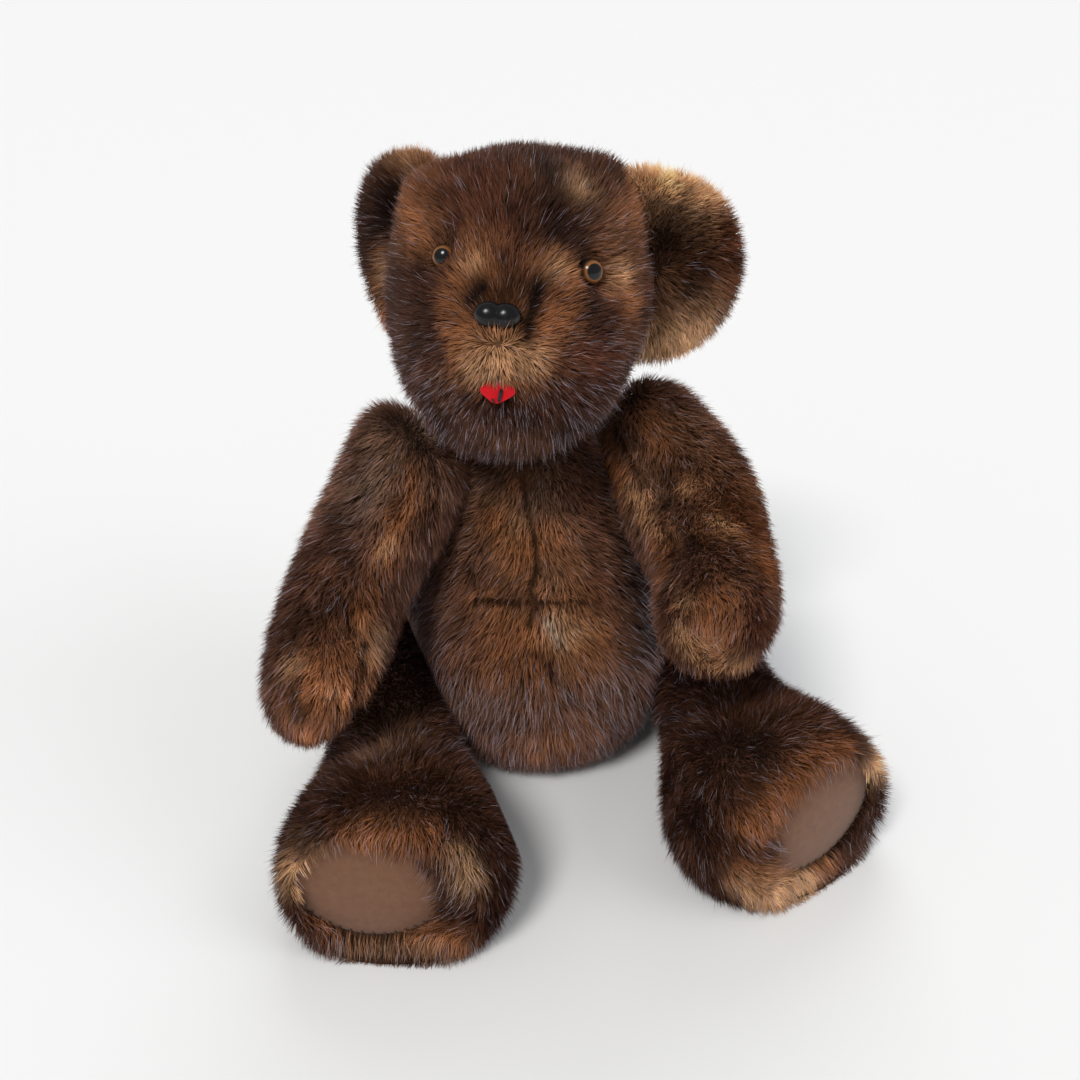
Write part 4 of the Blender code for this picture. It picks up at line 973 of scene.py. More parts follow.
# The seam up the torso and how fast the hair turns from it; how the head's hair turns downwards
SEAM_SIDE, SEAM_FAN = -0.010, 9
NOSE_TIP = np.array((0.0, -0.090, 0.004))
HEAD_DOWN, HEAD_DOWN_SHARE, HEAD_DOWN_STRENGTH = np.array((0.0, 0.25, -1.0)), 0.75, 1.1
HEAD_BACK_RANGE, CHIN_RANGE = (-0.01, 0.05), (0.026, 0.050)
TUFT_UP = np.array((0.0, 0.1, 1.5))
TUFT_START, TUFT_END, TUFT_SIDE = (2 * MM, 4.5 * MM), (6 * MM, 13 * MM), (5 * MM, 11 * MM)
EAR_DROOP, LIMB_DROOP, SOLE_DROOP = (0, 0, -0.15), (0, 0, -0.12), np.array((0, 0, 1.2))
UNDER_PAD, UNDER_SOLE = (0.70 * PAD_HALF_HEIGHT, 0.95 * PAD_HALF_HEIGHT), (-0.014, -0.004)


def torso_flow(points, normals, ahead):
    """Down, and away from the seam up the middle."""
    side = SEAM_FAN * (points[:, 0] - SEAM_SIDE)
    return np.stack((side, 0 * side, np.full(len(points), -1.0)), 1)


def head_flow(points, normals, ahead):
    """Back from the nose over the face, and down over the back of the head and under the chin."""
    place = head_place()
    local = within(place, points)
    radial = unit(local - NOSE_TIP)
    chin = HEAD_DOWN_SHARE * ease(-local[:, 2], *CHIN_RANGE)
    share = np.maximum(ease(local[:, 1], *HEAD_BACK_RANGE), chin)[:, None]
    radial = radial + tuft(points)[:, None] * (TUFT_UP - radial)
    return (radial + share * (HEAD_DOWN_STRENGTH * HEAD_DOWN - radial)) @ place.turn.T


def tuft(points):
    """1 on the hair just under the nose, which stands up against it, and 0 away from it."""
    x, y, _ = within(nose_place(), points).T
    below = ease(-y, *TUFT_START) * (1 - ease(-y, *TUFT_END))
    return below * (1 - ease(np.abs(x), *TUFT_SIDE))


def ear_flow(word):
    """The way that one ear's hair lies."""
    place = ear_place(word)

    def flow(points, normals, ahead):
        """Out from the middle of the ear to its rim."""
        local = within(place, points) * (1, 0, 1)
        return unit(local) @ place.turn.T + EAR_DROOP

    return flow


def limb_flow(points, normals, ahead):
    """Along the limb towards the paw or the sole."""
    return ahead + LIMB_DROOP


def leg_flow(word):
    """The way that one leg's hair lies."""
    sole = sole_place(word)

    def flow(points, normals, ahead):
        """Along the leg to its sole, and under the pad down to the floor."""
        local = within(sole, points)
        under = (ease(-local[:, 1], *UNDER_PAD) * ease(local[:, 2], *UNDER_SOLE))[:, None]
        return limb_flow(points, normals, ahead) * (1 - under) - under * SOLE_DROOP

    return flow


# Materials

def node(tree, kind, inputs=None, **settings):
    """A shader node with its settings, and each input set to a value or linked to a socket."""
    made = tree.nodes.new("ShaderNode" + kind)
    for key, value in settings.items():
        setattr(made, key, value)
    for key, value in (inputs or {}).items():
        if isinstance(value, bpy.types.NodeSocket):
            tree.links.new(value, made.inputs[key])
        else:
            made.inputs[key].default_value = value
    return made


def node_group(name, inputs, outputs, build):
    """A shader node group, built once: inputs and outputs are pairs of name and kind."""
    found = bpy.data.node_groups.get(name)
    if found:
        return found
    tree = bpy.data.node_groups.new(name, "ShaderNodeTree")
    for label, kind, default in inputs:
        socket = tree.interface.new_socket(label, in_out="INPUT", socket_type="NodeSocket" + kind)
        if default is not None:
            socket.default_value = default
    for label, kind in outputs:
        tree.interface.new_socket(label, in_out="OUTPUT", socket_type="NodeSocket" + kind)
    given = tree.nodes.new("NodeGroupInput").outputs
    result = build(tree, given)
    out = tree.nodes.new("NodeGroupOutput")
    for (label, _), socket in zip(outputs, result):
        tree.links.new(socket, out.inputs[label])
    return tree


def ratio(tree, kind, first, second):
    """The result of a Math node on two numbers or sockets."""
    return node(tree, "Math", {0: first, 1: second}, operation=kind).outputs[0]


GRAIN_DETAIL, GRAIN_ROUGHNESS, GRAIN_RANGE = 3.0, 0.6, (0.32, 0.68)
COARSE_SCALE, COARSE_DETAIL = 0.13, 2.0


def grain_group():
    """Fine nap or grain: noise of one size with coarser noise under it, as a mask and as a height."""

    def build(tree, given):
        scale = ratio(tree, "DIVIDE", 1.0, given["Size"])
        fine = node(tree, "TexNoise", {
            "Vector": given["Vector"], "Scale": scale, "Detail": GRAIN_DETAIL, "Roughness": GRAIN_ROUGHNESS,
        })
        coarse = node(tree, "TexNoise", {
            "Vector": given["Vector"], "Scale": ratio(tree, "MULTIPLY", scale, COARSE_SCALE),
            "Detail": COARSE_DETAIL,
        })
        mixed = node(tree, "Mix", {
            "Factor": given["Coarse share"], 2: fine.outputs["Fac"], 3: coarse.outputs["Fac"],
        }).outputs[0]
        low, high = GRAIN_RANGE
        mask = node(tree, "MapRange", {"Value": mixed, "From Min": low, "From Max": high})
        return mask.outputs["Result"], mixed

    return node_group(
        "Grain",
        (("Vector", "Vector", None), ("Size", "Float", 0.001), ("Coarse share", "Float", 0.3)),
        (("Mask", "Float"), ("Height", "Float")), build,
    )


def drift_group():
    """A colour made lighter and darker by a mask: colour times 1 - amount to 1 + amount."""

    def build(tree, given):
        low, high = (ratio(tree, kind, 1.0, given["Amount"]) for kind in ("SUBTRACT", "ADD"))
        level = node(tree, "MapRange", {"Value": given["Mask"], "To Min": low, "To Max": high})
        inputs = {0: given["Color"], "Scale": level.outputs["Result"]}
        return (node(tree, "VectorMath", inputs, operation="SCALE").outputs["Vector"],)

    return node_group(
        "Colour drift", (("Color", "Color", None), ("Mask", "Float", 0.5), ("Amount", "Float", 0.2)),
        (("Color", "Color"),), build,
    )


def material_of(name, shader_values, build=None):
    """A material on Principled BSDF, made once: build(tree, shader, place) adds what varies over it."""
    material = bpy.data.materials.get(name)
    if material is None:
        material = bpy.data.materials.new(name)
        material.use_nodes = True
        tree = material.node_tree
        shader = tree.nodes["Principled BSDF"]
        for key, value in shader_values.items():
            shader.inputs[key].default_value = value
        if build:
            build(tree, shader, node(tree, "TexCoord").outputs["Object"])
    return material


def grained(name, colour, size, amount, bump, shader_values, coarse=0.3, attribute=None, roughness=None):
    """A material whose colour drifts with its grain, and whose surface rises with it."""

    def build(tree, shader, place):
        inputs = {"Vector": place, "Size": size, "Coarse share": coarse}
        grain = node(tree, "Group", inputs, node_tree=grain_group())
        if attribute:
            source = node(tree, "Attribute", attribute_name=attribute).outputs["Color"]
        else:
            source = (*colour, 1)
        inputs = {"Color": source, "Mask": grain.outputs["Mask"], "Amount": amount}
        drift = node(tree, "Group", inputs, node_tree=drift_group())
        tree.links.new(drift.outputs["Color"], shader.inputs["Base Color"])
        if bump:
            inputs = {"Height": grain.outputs["Height"], "Distance": bump, "Strength": RELIEF_STRENGTH}
            tree.links.new(node(tree, "Bump", inputs).outputs["Normal"], shader.inputs["Normal"])
        if roughness:
            low, high = roughness
            rough = node(tree, "MapRange", {"Value": grain.outputs["Mask"], "To Min": low, "To Max": high})
            tree.links.new(rough.outputs["Result"], shader.inputs["Roughness"])

    return material_of(name, shader_values, build)


RELIEF_STRENGTH = 0.8


def fur_finish():
    """Brown hair with its own colours, finely grained and softly glossy."""
    values = {"Specular IOR Level": 0.22}
    return grained("Mink fur", None, 1.6 * MM, 0.18, 0, values, 0.4, "coat", (0.40, 0.56))


def leather_finish():
    """The dull skin under the fur, in the fur's colours darkened as painted shade."""
    values = {"Roughness": 0.9, "Specular IOR Level": 0.08}
    return grained("Mink leather", None, 0.8 * MM, 0.3, 0.4 * MM, values, 0.4, "coat")


def suede_finish():
    """Brown suede with a fine nap and a soft sheen."""
    return grained(
        "Suede", trim_settings().suede, 0.45 * MM, 0.17, 0.12 * MM,
        {"Roughness": 0.92, "Sheen Weight": 0.22, "Sheen Roughness": 0.5, "Specular IOR Level": 0.2}, 0.45,
    )


def felt_finish():
    """Red wool felt, matt and rough."""
    return grained(
        "Wool felt", trim_settings().felt, 0.35 * MM, 0.25, 0.25 * MM,
        {"Roughness": 0.95, "Sheen Weight": 0.08, "Sheen Roughness": 0.6, "Specular IOR Level": 0.15}, 0.35,
    )


def thread_finish(name, colour):
    """Cotton thread of one colour."""
    return grained(name, colour, 0.25 * MM, 0.35, 0.1 * MM, {"Roughness": 0.6}, 0.2)


def nose_finish():
    """Black moulded plastic, worn to a soft gloss."""
    return grained(
        "Nose plastic", trim_settings().nose, 1.2 * MM, 0.2, 0.02 * MM,
        {"Specular IOR Level": 0.32}, 0.5, roughness=(0.22, 0.27),
    )


# The iris: black up to the pupil's rim, amber up to the dark rim, as shares of the eye's radius
PUPIL, IRIS_START, IRIS_END, RIM_START = 0.57, 0.66, 0.86, 0.94
PUPIL_BLACK, RIM_BLACK, BACK_BLACK = (0.002, 0.002, 0.002), (0.015, 0.008, 0.005), (0.010, 0.008, 0.007)
IRIS_GRAIN, IRIS_DRIFT = 0.5 * MM, 0.3


def iris_finish():
    """The eye: a black pupil, an amber iris and a dark rim, by distance from the middle."""
    settings = trim_settings()

    def build(tree, shader, place):
        distance = node(tree, "Attribute", attribute_name="iris").outputs["Fac"]
        ramp = node(tree, "ValToRGB", {"Fac": distance})
        stops = (
            (0.0, PUPIL_BLACK), (PUPIL, PUPIL_BLACK), (IRIS_START, settings.iris),
            (IRIS_END, settings.iris_edge), (RIM_START, RIM_BLACK), (1.0, BACK_BLACK),
        )
        bands = ramp.color_ramp.elements
        while len(bands) < len(stops):
            bands.new(0.5)
        for band, (position, colour) in zip(bands, stops):
            band.position = position
            band.color = (*colour, 1)
        grain = node(tree, "Group", {"Vector": place, "Size": IRIS_GRAIN}, node_tree=grain_group())
        inputs = {"Color": ramp.outputs["Color"], "Mask": grain.outputs["Mask"], "Amount": IRIS_DRIFT}
        drift = node(tree, "Group", inputs, node_tree=drift_group())
        tree.links.new(drift.outputs["Color"], shader.inputs["Base Color"])

    return material_of("Amber eye", {"Roughness": 0.17, "Specular IOR Level": 0.42}, build)


# Settings that a user would change

def srgb(red, green, blue):
    """A colour given as a screen shows it, 0 to 255, as linear light."""
    share = np.array((red, green, blue)) / 255
    return tuple(np.where(share <= 0.04045, share / 12.92, ((share + 0.055) / 1.055) ** 2.4).tolist())


def colour(label, words, value):
    """A colour that a user can change."""
    return bpy.props.FloatVectorProperty(
        name=label, description=words, default=value, size=3, min=0, max=1, subtype="COLOR",
    )


def length(label, words, value, most=0.05):
    """A length in metres that a user can change."""
    return bpy.props.FloatProperty(
        name=label, description=words, default=value, min=0, max=most, unit="LENGTH", precision=4,
    )


def whole(label, words, value):
    """A number of hairs that a user can change."""
    return bpy.props.IntProperty(name=label, description=words, default=value, min=100, max=99000)


class MinkFurSettings(bpy.types.PropertyGroup):
    """Colours, lengths and numbers of the hairs."""

    dark: colour("Dark", "Main colour of the fur", srgb(66, 39, 29))
    brown: colour("Brown", "Middle brown of the fur", srgb(104, 68, 47))
    sable: colour("Sable", "Darkest brown of the fur", srgb(38, 23, 18))
    umber: colour("Umber", "Main colour of the arms and legs", srgb(114, 78, 62))
    orange: colour("Orange", "Warm colour of muzzle, paws and belly", srgb(160, 104, 67))
    tan: colour("Tan", "Palest brown of the fur", srgb(204, 160, 120))
    straw: colour("Straw", "Lightest fur, at the ears' rims and the feet", srgb(246, 200, 154))
    pale: colour("Worn", "Where the fur is worn to its pale underside", srgb(214, 200, 182))
    mahogany: colour("Mahogany", "Reddish brown at ear rims and paws", srgb(100, 57, 39))
    # Cool pale guard hair tips: partly their own colour, partly painted sheen
    guard_tip_and_sheen: colour("Guard hair tips", "Cool light tips of the longest hairs", srgb(206, 196, 210))
    torso_length: length("Torso fur", "Length of the hairs on the torso", 0.0074)
    head_length: length("Head fur", "Length of the hairs on the head", 0.0074)
    ear_length: length("Ear fur", "Length of the hairs on the ears", 0.0072)
    arm_length: length("Arm fur", "Length of the hairs on the arms", 0.0086)
    leg_length: length("Leg fur", "Length of the hairs on the legs", 0.0090)
    torso_count: whole("Torso hairs", "Number of hairs on the torso", 95000)
    head_count: whole("Head hairs", "Number of hairs on the head", 95000)
    ear_count: whole("Ear hairs", "Number of hairs on each ear", 24000)
    arm_count: whole("Arm hairs", "Number of hairs on each arm", 42000)
    leg_count: whole("Leg hairs", "Number of hairs on each leg", 58000)


class MinkTrimSettings(bpy.types.PropertyGroup):
    """Eyes, nose, mouth and foot pads."""

    suede: colour("Suede", "Colour of the foot pads", srgb(113, 78, 57))
    felt: colour("Felt", "Colour of the mouth", srgb(186, 14, 26))
    thread: colour("Mouth thread", "Colour of the mouth's stitches", srgb(20, 15, 15))
    pad_thread: colour("Pad thread", "Colour of the foot pads' stitches", srgb(70, 48, 36))
    nose: colour("Nose", "Colour of the moulded nose", srgb(9, 10, 13))
    iris: colour("Iris", "Colour round the pupil", srgb(142, 90, 44))
    iris_edge: colour("Iris edge", "Colour at the edge of the iris", srgb(70, 42, 26))
    pad_dome: length("Pad crown", "Height of the middle of a foot pad above its rim", 0.0030)
    stitch_radius: length("Stitch radius", "Half thickness of the thread", 0.00045)


class MinkStageSettings(bpy.types.PropertyGroup):
    """Floor and light."""

    floor: colour("Floor", "Colour of the floor", (0.80, 0.80, 0.80))
    key: bpy.props.FloatProperty(name="Key", description="Light from the left and front", default=1.95, min=0)
    fill: bpy.props.FloatProperty(name="Fill", description="Light from the right", default=0.7, min=0)
    back: bpy.props.FloatProperty(name="Back", description="Light from behind", default=0.9, min=0)
    sky: bpy.props.FloatProperty(name="Sky", description="Strength of the even light", default=0.38, min=0)


class MinkBearSettings(bpy.types.PropertyGroup):
    """All the settings of the bear."""

    fur: bpy.props.PointerProperty(type=MinkFurSettings)
    trim: bpy.props.PointerProperty(type=MinkTrimSettings)
    stage: bpy.props.PointerProperty(type=MinkStageSettings)


def trim_settings():
    """The colours and sizes of the eyes, nose, mouth and pads."""
    return bpy.context.scene.mink_bear.trim


# Pieces

LEATHER_PAINTED_SHADE = 0.3  # the leather's colour as a share of its fur's: painted shade deep under the pile
HAIR_SEEDS = {"torso": 101, "head": 202, "ear": 303, "arm": 404, "leg": 505}
TONE_SEEDS = {"torso": 41, "head": 42, "ear": 43, "arm": 45, "leg": 47}
# Columns and rows of each surface
GRIDS = {
    "torso": (96, 64), "head": (128, 96), "ear": (64, 36), "arm": (64, 56), "leg": (72, 72),
    "eye": (40, 22), "nose": (96, 50), "felt": (48, 30), "pad": (72, 40),
}


def carried(piece, body, slot, *nodes):
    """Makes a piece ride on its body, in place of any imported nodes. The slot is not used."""
    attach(piece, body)
    if nodes:
        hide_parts(*nodes)


def dress(name, form, body, coat, grid, nodes, deeper=None):
    """The leather and the fur of one soft form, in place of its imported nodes."""
    skin = leather(name + "_leather", form, grid, leather_finish(), deeper)
    points = mesh_points(skin.data)
    # Painted shade: the leather takes a dark share of the fur's colour, darker still along the seams
    paint(skin, "coat", coat.tone(points) * LEATHER_PAINTED_SHADE * seam_painted_shade(points, coat.partings)[:, None])
    carried(skin, body, "mink", *nodes)
    carried(fur(name + "_fur", form, coat, fur_finish()), body, "mink")


# Where the torso's fur changes from plush to sleek: downwards, to the sides and to the back
SLEEK_BELOW, SLEEK_SIDE, SLEEK_BACK, PLUSH_MIDDLE = (-0.088, -0.066), (0.036, 0.056), (-0.02, 0.02), -0.008
# A plush value, and what being sleek adds to it
TORSO_LEAN_RANGE, TORSO_GUARD, TORSO_GROWTH = (0.28, 0.34), (0.02, 0.12), (1, 0.36)


class MINK_OT_torso(bpy.types.Operator):
    """Make the torso's leather and fur."""

    bl_idname = "mink.torso"
    bl_label = "Torso"

    def execute(self, context):
        settings = context.scene.mink_bear.fur

        def by_sleekness(values):
            """A function from one value on the plush chest to another low, at the sides and behind."""
            plush, more = values

            def value(points):
                x, y, z = points.T
                lower = ease(-z, *SLEEK_BELOW)
                sides = ease(np.abs(x - PLUSH_MIDDLE), *SLEEK_SIDE)
                return plush + more * np.maximum(lower, np.maximum(sides, ease(y, *SLEEK_BACK)))

            return value

        coat = Coat(
            settings.torso_count, HAIR_SEEDS["torso"], settings.torso_length, torso_flow,
            patched("umber", TORSO_PATCHES, TONE_SEEDS["torso"]), lean=by_sleekness(TORSO_LEAN_RANGE),
            guard=by_sleekness(TORSO_GUARD), grown=by_sleekness(TORSO_GROWTH), partings=TORSO_PARTINGS,
        )
        dress("torso", torso_form(), "torso", coat, GRIDS["torso"], ("torso_pelt", "torso_stuffing"))
        return {"FINISHED"}


# Partings over seams: start, end, reach, how far the hair is pushed aside, and how much shorter it is
TORSO_PARTINGS = (
    ((-.0126, -.0400, .1690), (-.0089, -.0512, .1404), .0028, 1.0, .36),
    ((-.0089, -.0512, .1404), (-.0086, -.0550, .1283), .0030, 1.1, .42),
    ((-.0086, -.0550, .1283), (-.0122, -.0563, .1211), .0034, 1.2, .46),
    ((-.0122, -.0563, .1211), (-.0113, -.0594, .1098), .0034, 1.2, .46),
    ((-.0113, -.0594, .1098), (-.0145, -.0615, .1020), .0032, 1.1, .40),
    ((-.0063, -.0650, .0830), (-.0060, -.0657, .0740), .0034, 0.9, .33),
    ((-.0370, -.0500, .1120), (-.0187, -.0573, .1118), .0036, 1.6, .50),
    ((-.0126, -.0587, .1122), (.0110, -.0591, .1102), .0034, 1.6, .48),
    ((-.0395, -.0440, .1250), (-.0370, -.0450, .1180), .0036, 1.2, .33),
)


HEAD_PARTINGS = (
    ((-.0146, -.0391, .2888), (-.0095, -.0516, .2804), .004, .7, .2),
    ((-.0347, -.0663, .2606), (-.0293, -.0654, .2650), .004, .6, .3),
    ((-.0157, -.0808, .2507), (-.0079, -.0685, .2641), .004, .6, .3),
)


# The head's fur in its own frame: short on the muzzle, long at the chin and cheeks, shortest by the
# eyes and nose, but long again in the tuft
MUZZLE_RANGE, MUZZLE_SHORTER = (0.055, 0.080), 0.30
RUFF_BELOW, RUFF_BEHIND, RUFF_LONGER = (0.020, 0.045), (-0.085, -0.050), 0.40
FACE_CLEAR, FACE_SHORTEST, TUFT_LONGER = (0.0054, 0.012), 0.38, 0.6
EYE_BARE, NOSE_BARE_BELOW, NOSE_BARE, FELT_BARE = 0.0050, 0.80, 0.94, 0.80
LIP_HEIGHT, LIP_HALF = -1.0 * MM, 1.9 * MM
EYE_PARTING, NOSE_PARTING = (0.013, 1.2, 0.0), (0.012, 0.5, 0.0)
HEAD_GUARD, CHIN_GUARD, GUARD_RANGE = 0.02, 0.055, (-0.248, -0.222)


class MINK_OT_head(bpy.types.Operator):
    """Make the head's leather and fur."""

    bl_idname = "mink.head"
    bl_label = "Head"

    def execute(self, context):
        settings = context.scene.mink_bear.fur
        place, nose, mouth = head_place(), nose_place(), mouth_place()
        eyes = [eye_place(word).middle for word in SIDES]

        def grown(points):
            """How long the hair grows at each point, as a share of the head's usual length."""
            local = within(place, points)
            muzzle = ease(-local[:, 1], *MUZZLE_RANGE)
            ruff = ease(-local[:, 2], *RUFF_BELOW) * ease(local[:, 1], *RUFF_BEHIND)
            factor = (1 - MUZZLE_SHORTER * muzzle) * (1 + RUFF_LONGER * ruff)
            for middle, lifted in [(eye, 0) for eye in eyes] + [(nose.middle, tuft(points))]:
                away = np.maximum(ease(np.linalg.norm(points - middle, axis=-1), *FACE_CLEAR), lifted)
                factor = factor * (FACE_SHORTEST + (1 - FACE_SHORTEST) * away + TUFT_LONGER * lifted)
            return factor

        def keep(points):
            """No hair under the eyes and the nose, or through the felt."""
            kept = np.full(len(points), True)
            for eye in eyes:
                kept &= np.linalg.norm(points - eye, axis=-1) > EYE_BARE
            x, y, _ = within(nose, points).T
            reach = np.hypot(x / NOSE_HALF_WIDTH, y / NOSE_HALF_HEIGHT)
            kept &= reach > np.where(y < 0, NOSE_BARE_BELOW, NOSE_BARE)
            x, y, _ = within(mouth, points).T
            return kept & ((np.abs(x) > FELT_BARE * FELT_HALF_WIDTH) | (np.abs(y - LIP_HEIGHT) > LIP_HALF))

        clearings = [(eye, eye, *EYE_PARTING) for eye in eyes] + [(nose.middle, nose.middle, *NOSE_PARTING)]
        coat = Coat(
            settings.head_count, HAIR_SEEDS["head"], settings.head_length, head_flow,
            patched("dark", HEAD_PATCHES, TONE_SEEDS["head"]), lean=0.46,
            guard=lambda points: HEAD_GUARD + CHIN_GUARD * ease(-points[:, 2], *GUARD_RANGE),
            grown=grown, partings=HEAD_PARTINGS + tuple(clearings), keep=keep,
        )
        dress("head", head_form(), "head", coat, GRIDS["head"], ("head_pelt", "head_stuffing"))
        return {"FINISHED"}


class MINK_OT_ears(bpy.types.Operator):
    """Make both ears' leather and fur."""

    bl_idname = "mink.ears"
    bl_label = "Ears"

    def execute(self, context):
        settings = context.scene.mink_bear.fur
        for word in SIDES:
            coat = Coat(
                settings.ear_count, HAIR_SEEDS["ear"] + SIDES[word], settings.ear_length, ear_flow(word),
                patched("dark", EAR_PATCHES[word], TONE_SEEDS["ear"] + SIDES[word]),
            )
            dress("ear_" + word, ear_form(word), "head", coat, GRIDS["ear"], ("ear_" + word,))
        return {"FINISHED"}


ARM_LEAN = 0.60
# Painted shade at the arms' hair roots, as a share of the tone at their middles
ARM_ROOT_PAINTED_SHADE = {"left": 0.55, "right": 0.46}
ARM_PARTINGS = {
    "left": (
        ((.0332, -.0258, .1783), (.0401, -.0505, .1629), .0036, 0.9, .34),
        ((.0401, -.0505, .1629), (.0467, -.0650, .1592), .0038, 1.1, .40),
        ((.0467, -.0650, .1592), (.0457, -.0830, .1529), .0040, 1.2, .44),
        ((.0457, -.0830, .1529), (.0419, -.0997, .1485), .0040, 1.2, .42),
        ((.0419, -.0997, .1485), (.0338, -.1061, .1372), .0034, 0.9, .34),
        ((.0338, -.1061, .1372), (.0337, -.1131, .1313), .0032, 0.8, .32),
    ),
    "right": (
        ((-.1124, -.0834, .1243), (-.0967, -.0819, .1254), .0032, 0.9, .34),
        ((-.0947, -.0754, .1325), (-.0947, -.0822, .1243), .0032, 0.9, .34),
        ((-.0947, -.0822, .1243), (-.0911, -.0848, .1193), .0036, 1.1, .40),
        ((-.0911, -.0848, .1193), (-.0941, -.0934, .1081), .0040, 1.2, .46),
        ((-.0941, -.0934, .1081), (-.0950, -.0970, .0960), .0038, 1.0, .40),
    ),
}


class MINK_OT_arms(bpy.types.Operator):
    """Make both arms' leather and fur."""

    bl_idname = "mink.arms"
    bl_label = "Arms"

    def execute(self, context):
        settings = context.scene.mink_bear.fur
        for word in SIDES:
            coat = Coat(
                settings.arm_count, HAIR_SEEDS["arm"] + SIDES[word], settings.arm_length, limb_flow,
                patched("umber", ARM_PATCHES[word], TONE_SEEDS["arm"] + SIDES[word]), lean=ARM_LEAN,
                root=ARM_ROOT_PAINTED_SHADE[word], partings=ARM_PARTINGS[word],
            )
            nodes = (f"arm_{word}_pelt", f"arm_{word}_stuffing")
            dress("arm_" + word, arm_form(word), "arm_" + word, coat, GRIDS["arm"], nodes)
        return {"FINISHED"}


# The foot pad's oval: how near it a point lies, where the hair ends, and how deep the leather goes
PAD_LEVEL, PAD_BARE, PAD_RAGGED, PAD_RAGGED_WAVE, PAD_SEED = 4 * MM, 0.94, 0.05, 0.014, 61
PAD_SUNK, PAD_STEP = 2.2 * MM, (0.96, 1.06)
LEG_GUARD = 0.07


class MINK_OT_legs(bpy.types.Operator):
    """Make both legs' leather and fur."""

    bl_idname = "mink.legs"
    bl_label = "Legs"

    def execute(self, context):
        settings = context.scene.mink_bear.fur
        for word in SIDES:

            def on_pad(points, sole=sole_place(word)):
                """Reach from the pad's middle, 1 at its rim, and whether a point is level with the sole."""
                x, y, height = np.moveaxis(within(sole, points), -1, 0)
                return np.hypot(x / PAD_HALF_WIDTH, y / PAD_HALF_HEIGHT), np.abs(height) < PAD_LEVEL

            def keep(points, on_pad=on_pad):
                """Hair up to the pad's rim, with a ragged edge."""
                reach, level = on_pad(points)
                ragged = PAD_RAGGED * ripple(points, PAD_RAGGED_WAVE, PAD_SEED)
                return (reach + ragged > PAD_BARE) | ~level

            def deeper(points, on_pad=on_pad):
                """The leather sinks under the pad."""
                reach, level = on_pad(points)
                return PAD_SUNK * (1 - ease(reach, *PAD_STEP)) * level

            coat = Coat(
                settings.leg_count, HAIR_SEEDS["leg"] + SIDES[word], settings.leg_length, leg_flow(word),
                patched("dark", LEG_PATCHES[word], TONE_SEEDS["leg"] + SIDES[word]), guard=LEG_GUARD,
                keep=keep,
            )
            nodes = (f"leg_{word}_pelt", f"leg_{word}_stuffing")
            dress("leg_" + word, leg_form(word), "leg_" + word, coat, GRIDS["leg"], nodes, deeper)
        return {"FINISHED"}


def eye_place(word):
    """The eye's own frame at its crown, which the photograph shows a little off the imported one."""
    turn = face_turn((SIDES[word] * math.sin(EYE_TURN), -math.cos(EYE_TURN), EYE_LIFT))
    place = node_place("eye_" + word, turn, 0, True)
    return Place(put(place, EYE_SHIFT[word]), turn)


def nose_place():
    """The nose's own frame at its middle."""
    turn = face_turn((0, -math.cos(NOSE_LIFT), math.sin(NOSE_LIFT)))
    place = node_place("nose", turn, NOSE_REACH, False)
    return Place(put(place, NOSE_SHIFT), turn)


def mouth_place():
    """The felt's own frame at its back: Z out of the mouth and Y up."""
    turn = face_turn((0, -math.cos(FELT_DROOP), -math.sin(FELT_DROOP)))
    return node_place("mouth_felt", turn, FELT_REACH, False)


EYE_TURN, NOSE_LIFT, FELT_DROOP = np.radians((20, 22, 38))
EYE_LIFT = 0.25
EYE_RADIUS, EYE_DOME = 5.4 * MM, 4.9 * MM
EYE_RIM = 0.75  # share of the way over the eye from its crown to its rim
PUPIL_SHIFT = 0.9 * MM
EYE_SHIFT = {"left": (2.1 * MM, -1.3 * MM, 0), "right": (1.9 * MM, -0.4 * MM, -0.8 * MM)}
NOSE_REACH = 10.3 * MM
NOSE_SHIFT = (-1.1 * MM, 0, 0)
NOSE_HALF_WIDTH, NOSE_HALF_HEIGHT, NOSE_DEPTH, NOSE_SINK = 9.3 * MM, 5.6 * MM, 5.6 * MM, 2.4 * MM
NOSE_WALL = 4.4 * MM
NOSE_RIM, NOSE_EDGE = 0.7, 0.8  # shares of the way over the nose to its rim and to its back
NOSE_ROUND, NOSE_TAPER = 2.2, 0.22
LOBE_PLACE = 0.36  # middle of a lobe of the nose, as a share of the half width
FELT_REACH, FELT_TUCK = 4.0 * MM, 5.2 * MM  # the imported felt's back and this one's, behind the lips
FELT_LENGTH, FELT_HALF_WIDTH, FELT_THICKNESS = 10.2 * MM, 7.0 * MM, 1.2 * MM
FELT_OVER = 1.08  # how far past its edge the grid's middle is stretched, so that the edge is in it
FELT_CORNER, FELT_EDGE = 2.4, 6  # powers of the felt's outline and of its edge
FELT_NARROWING, FELT_NARROW_RANGE = 0.55, (-0.2, 1.1)
FELT_BEND, FELT_SAG = 0.10, 0.12


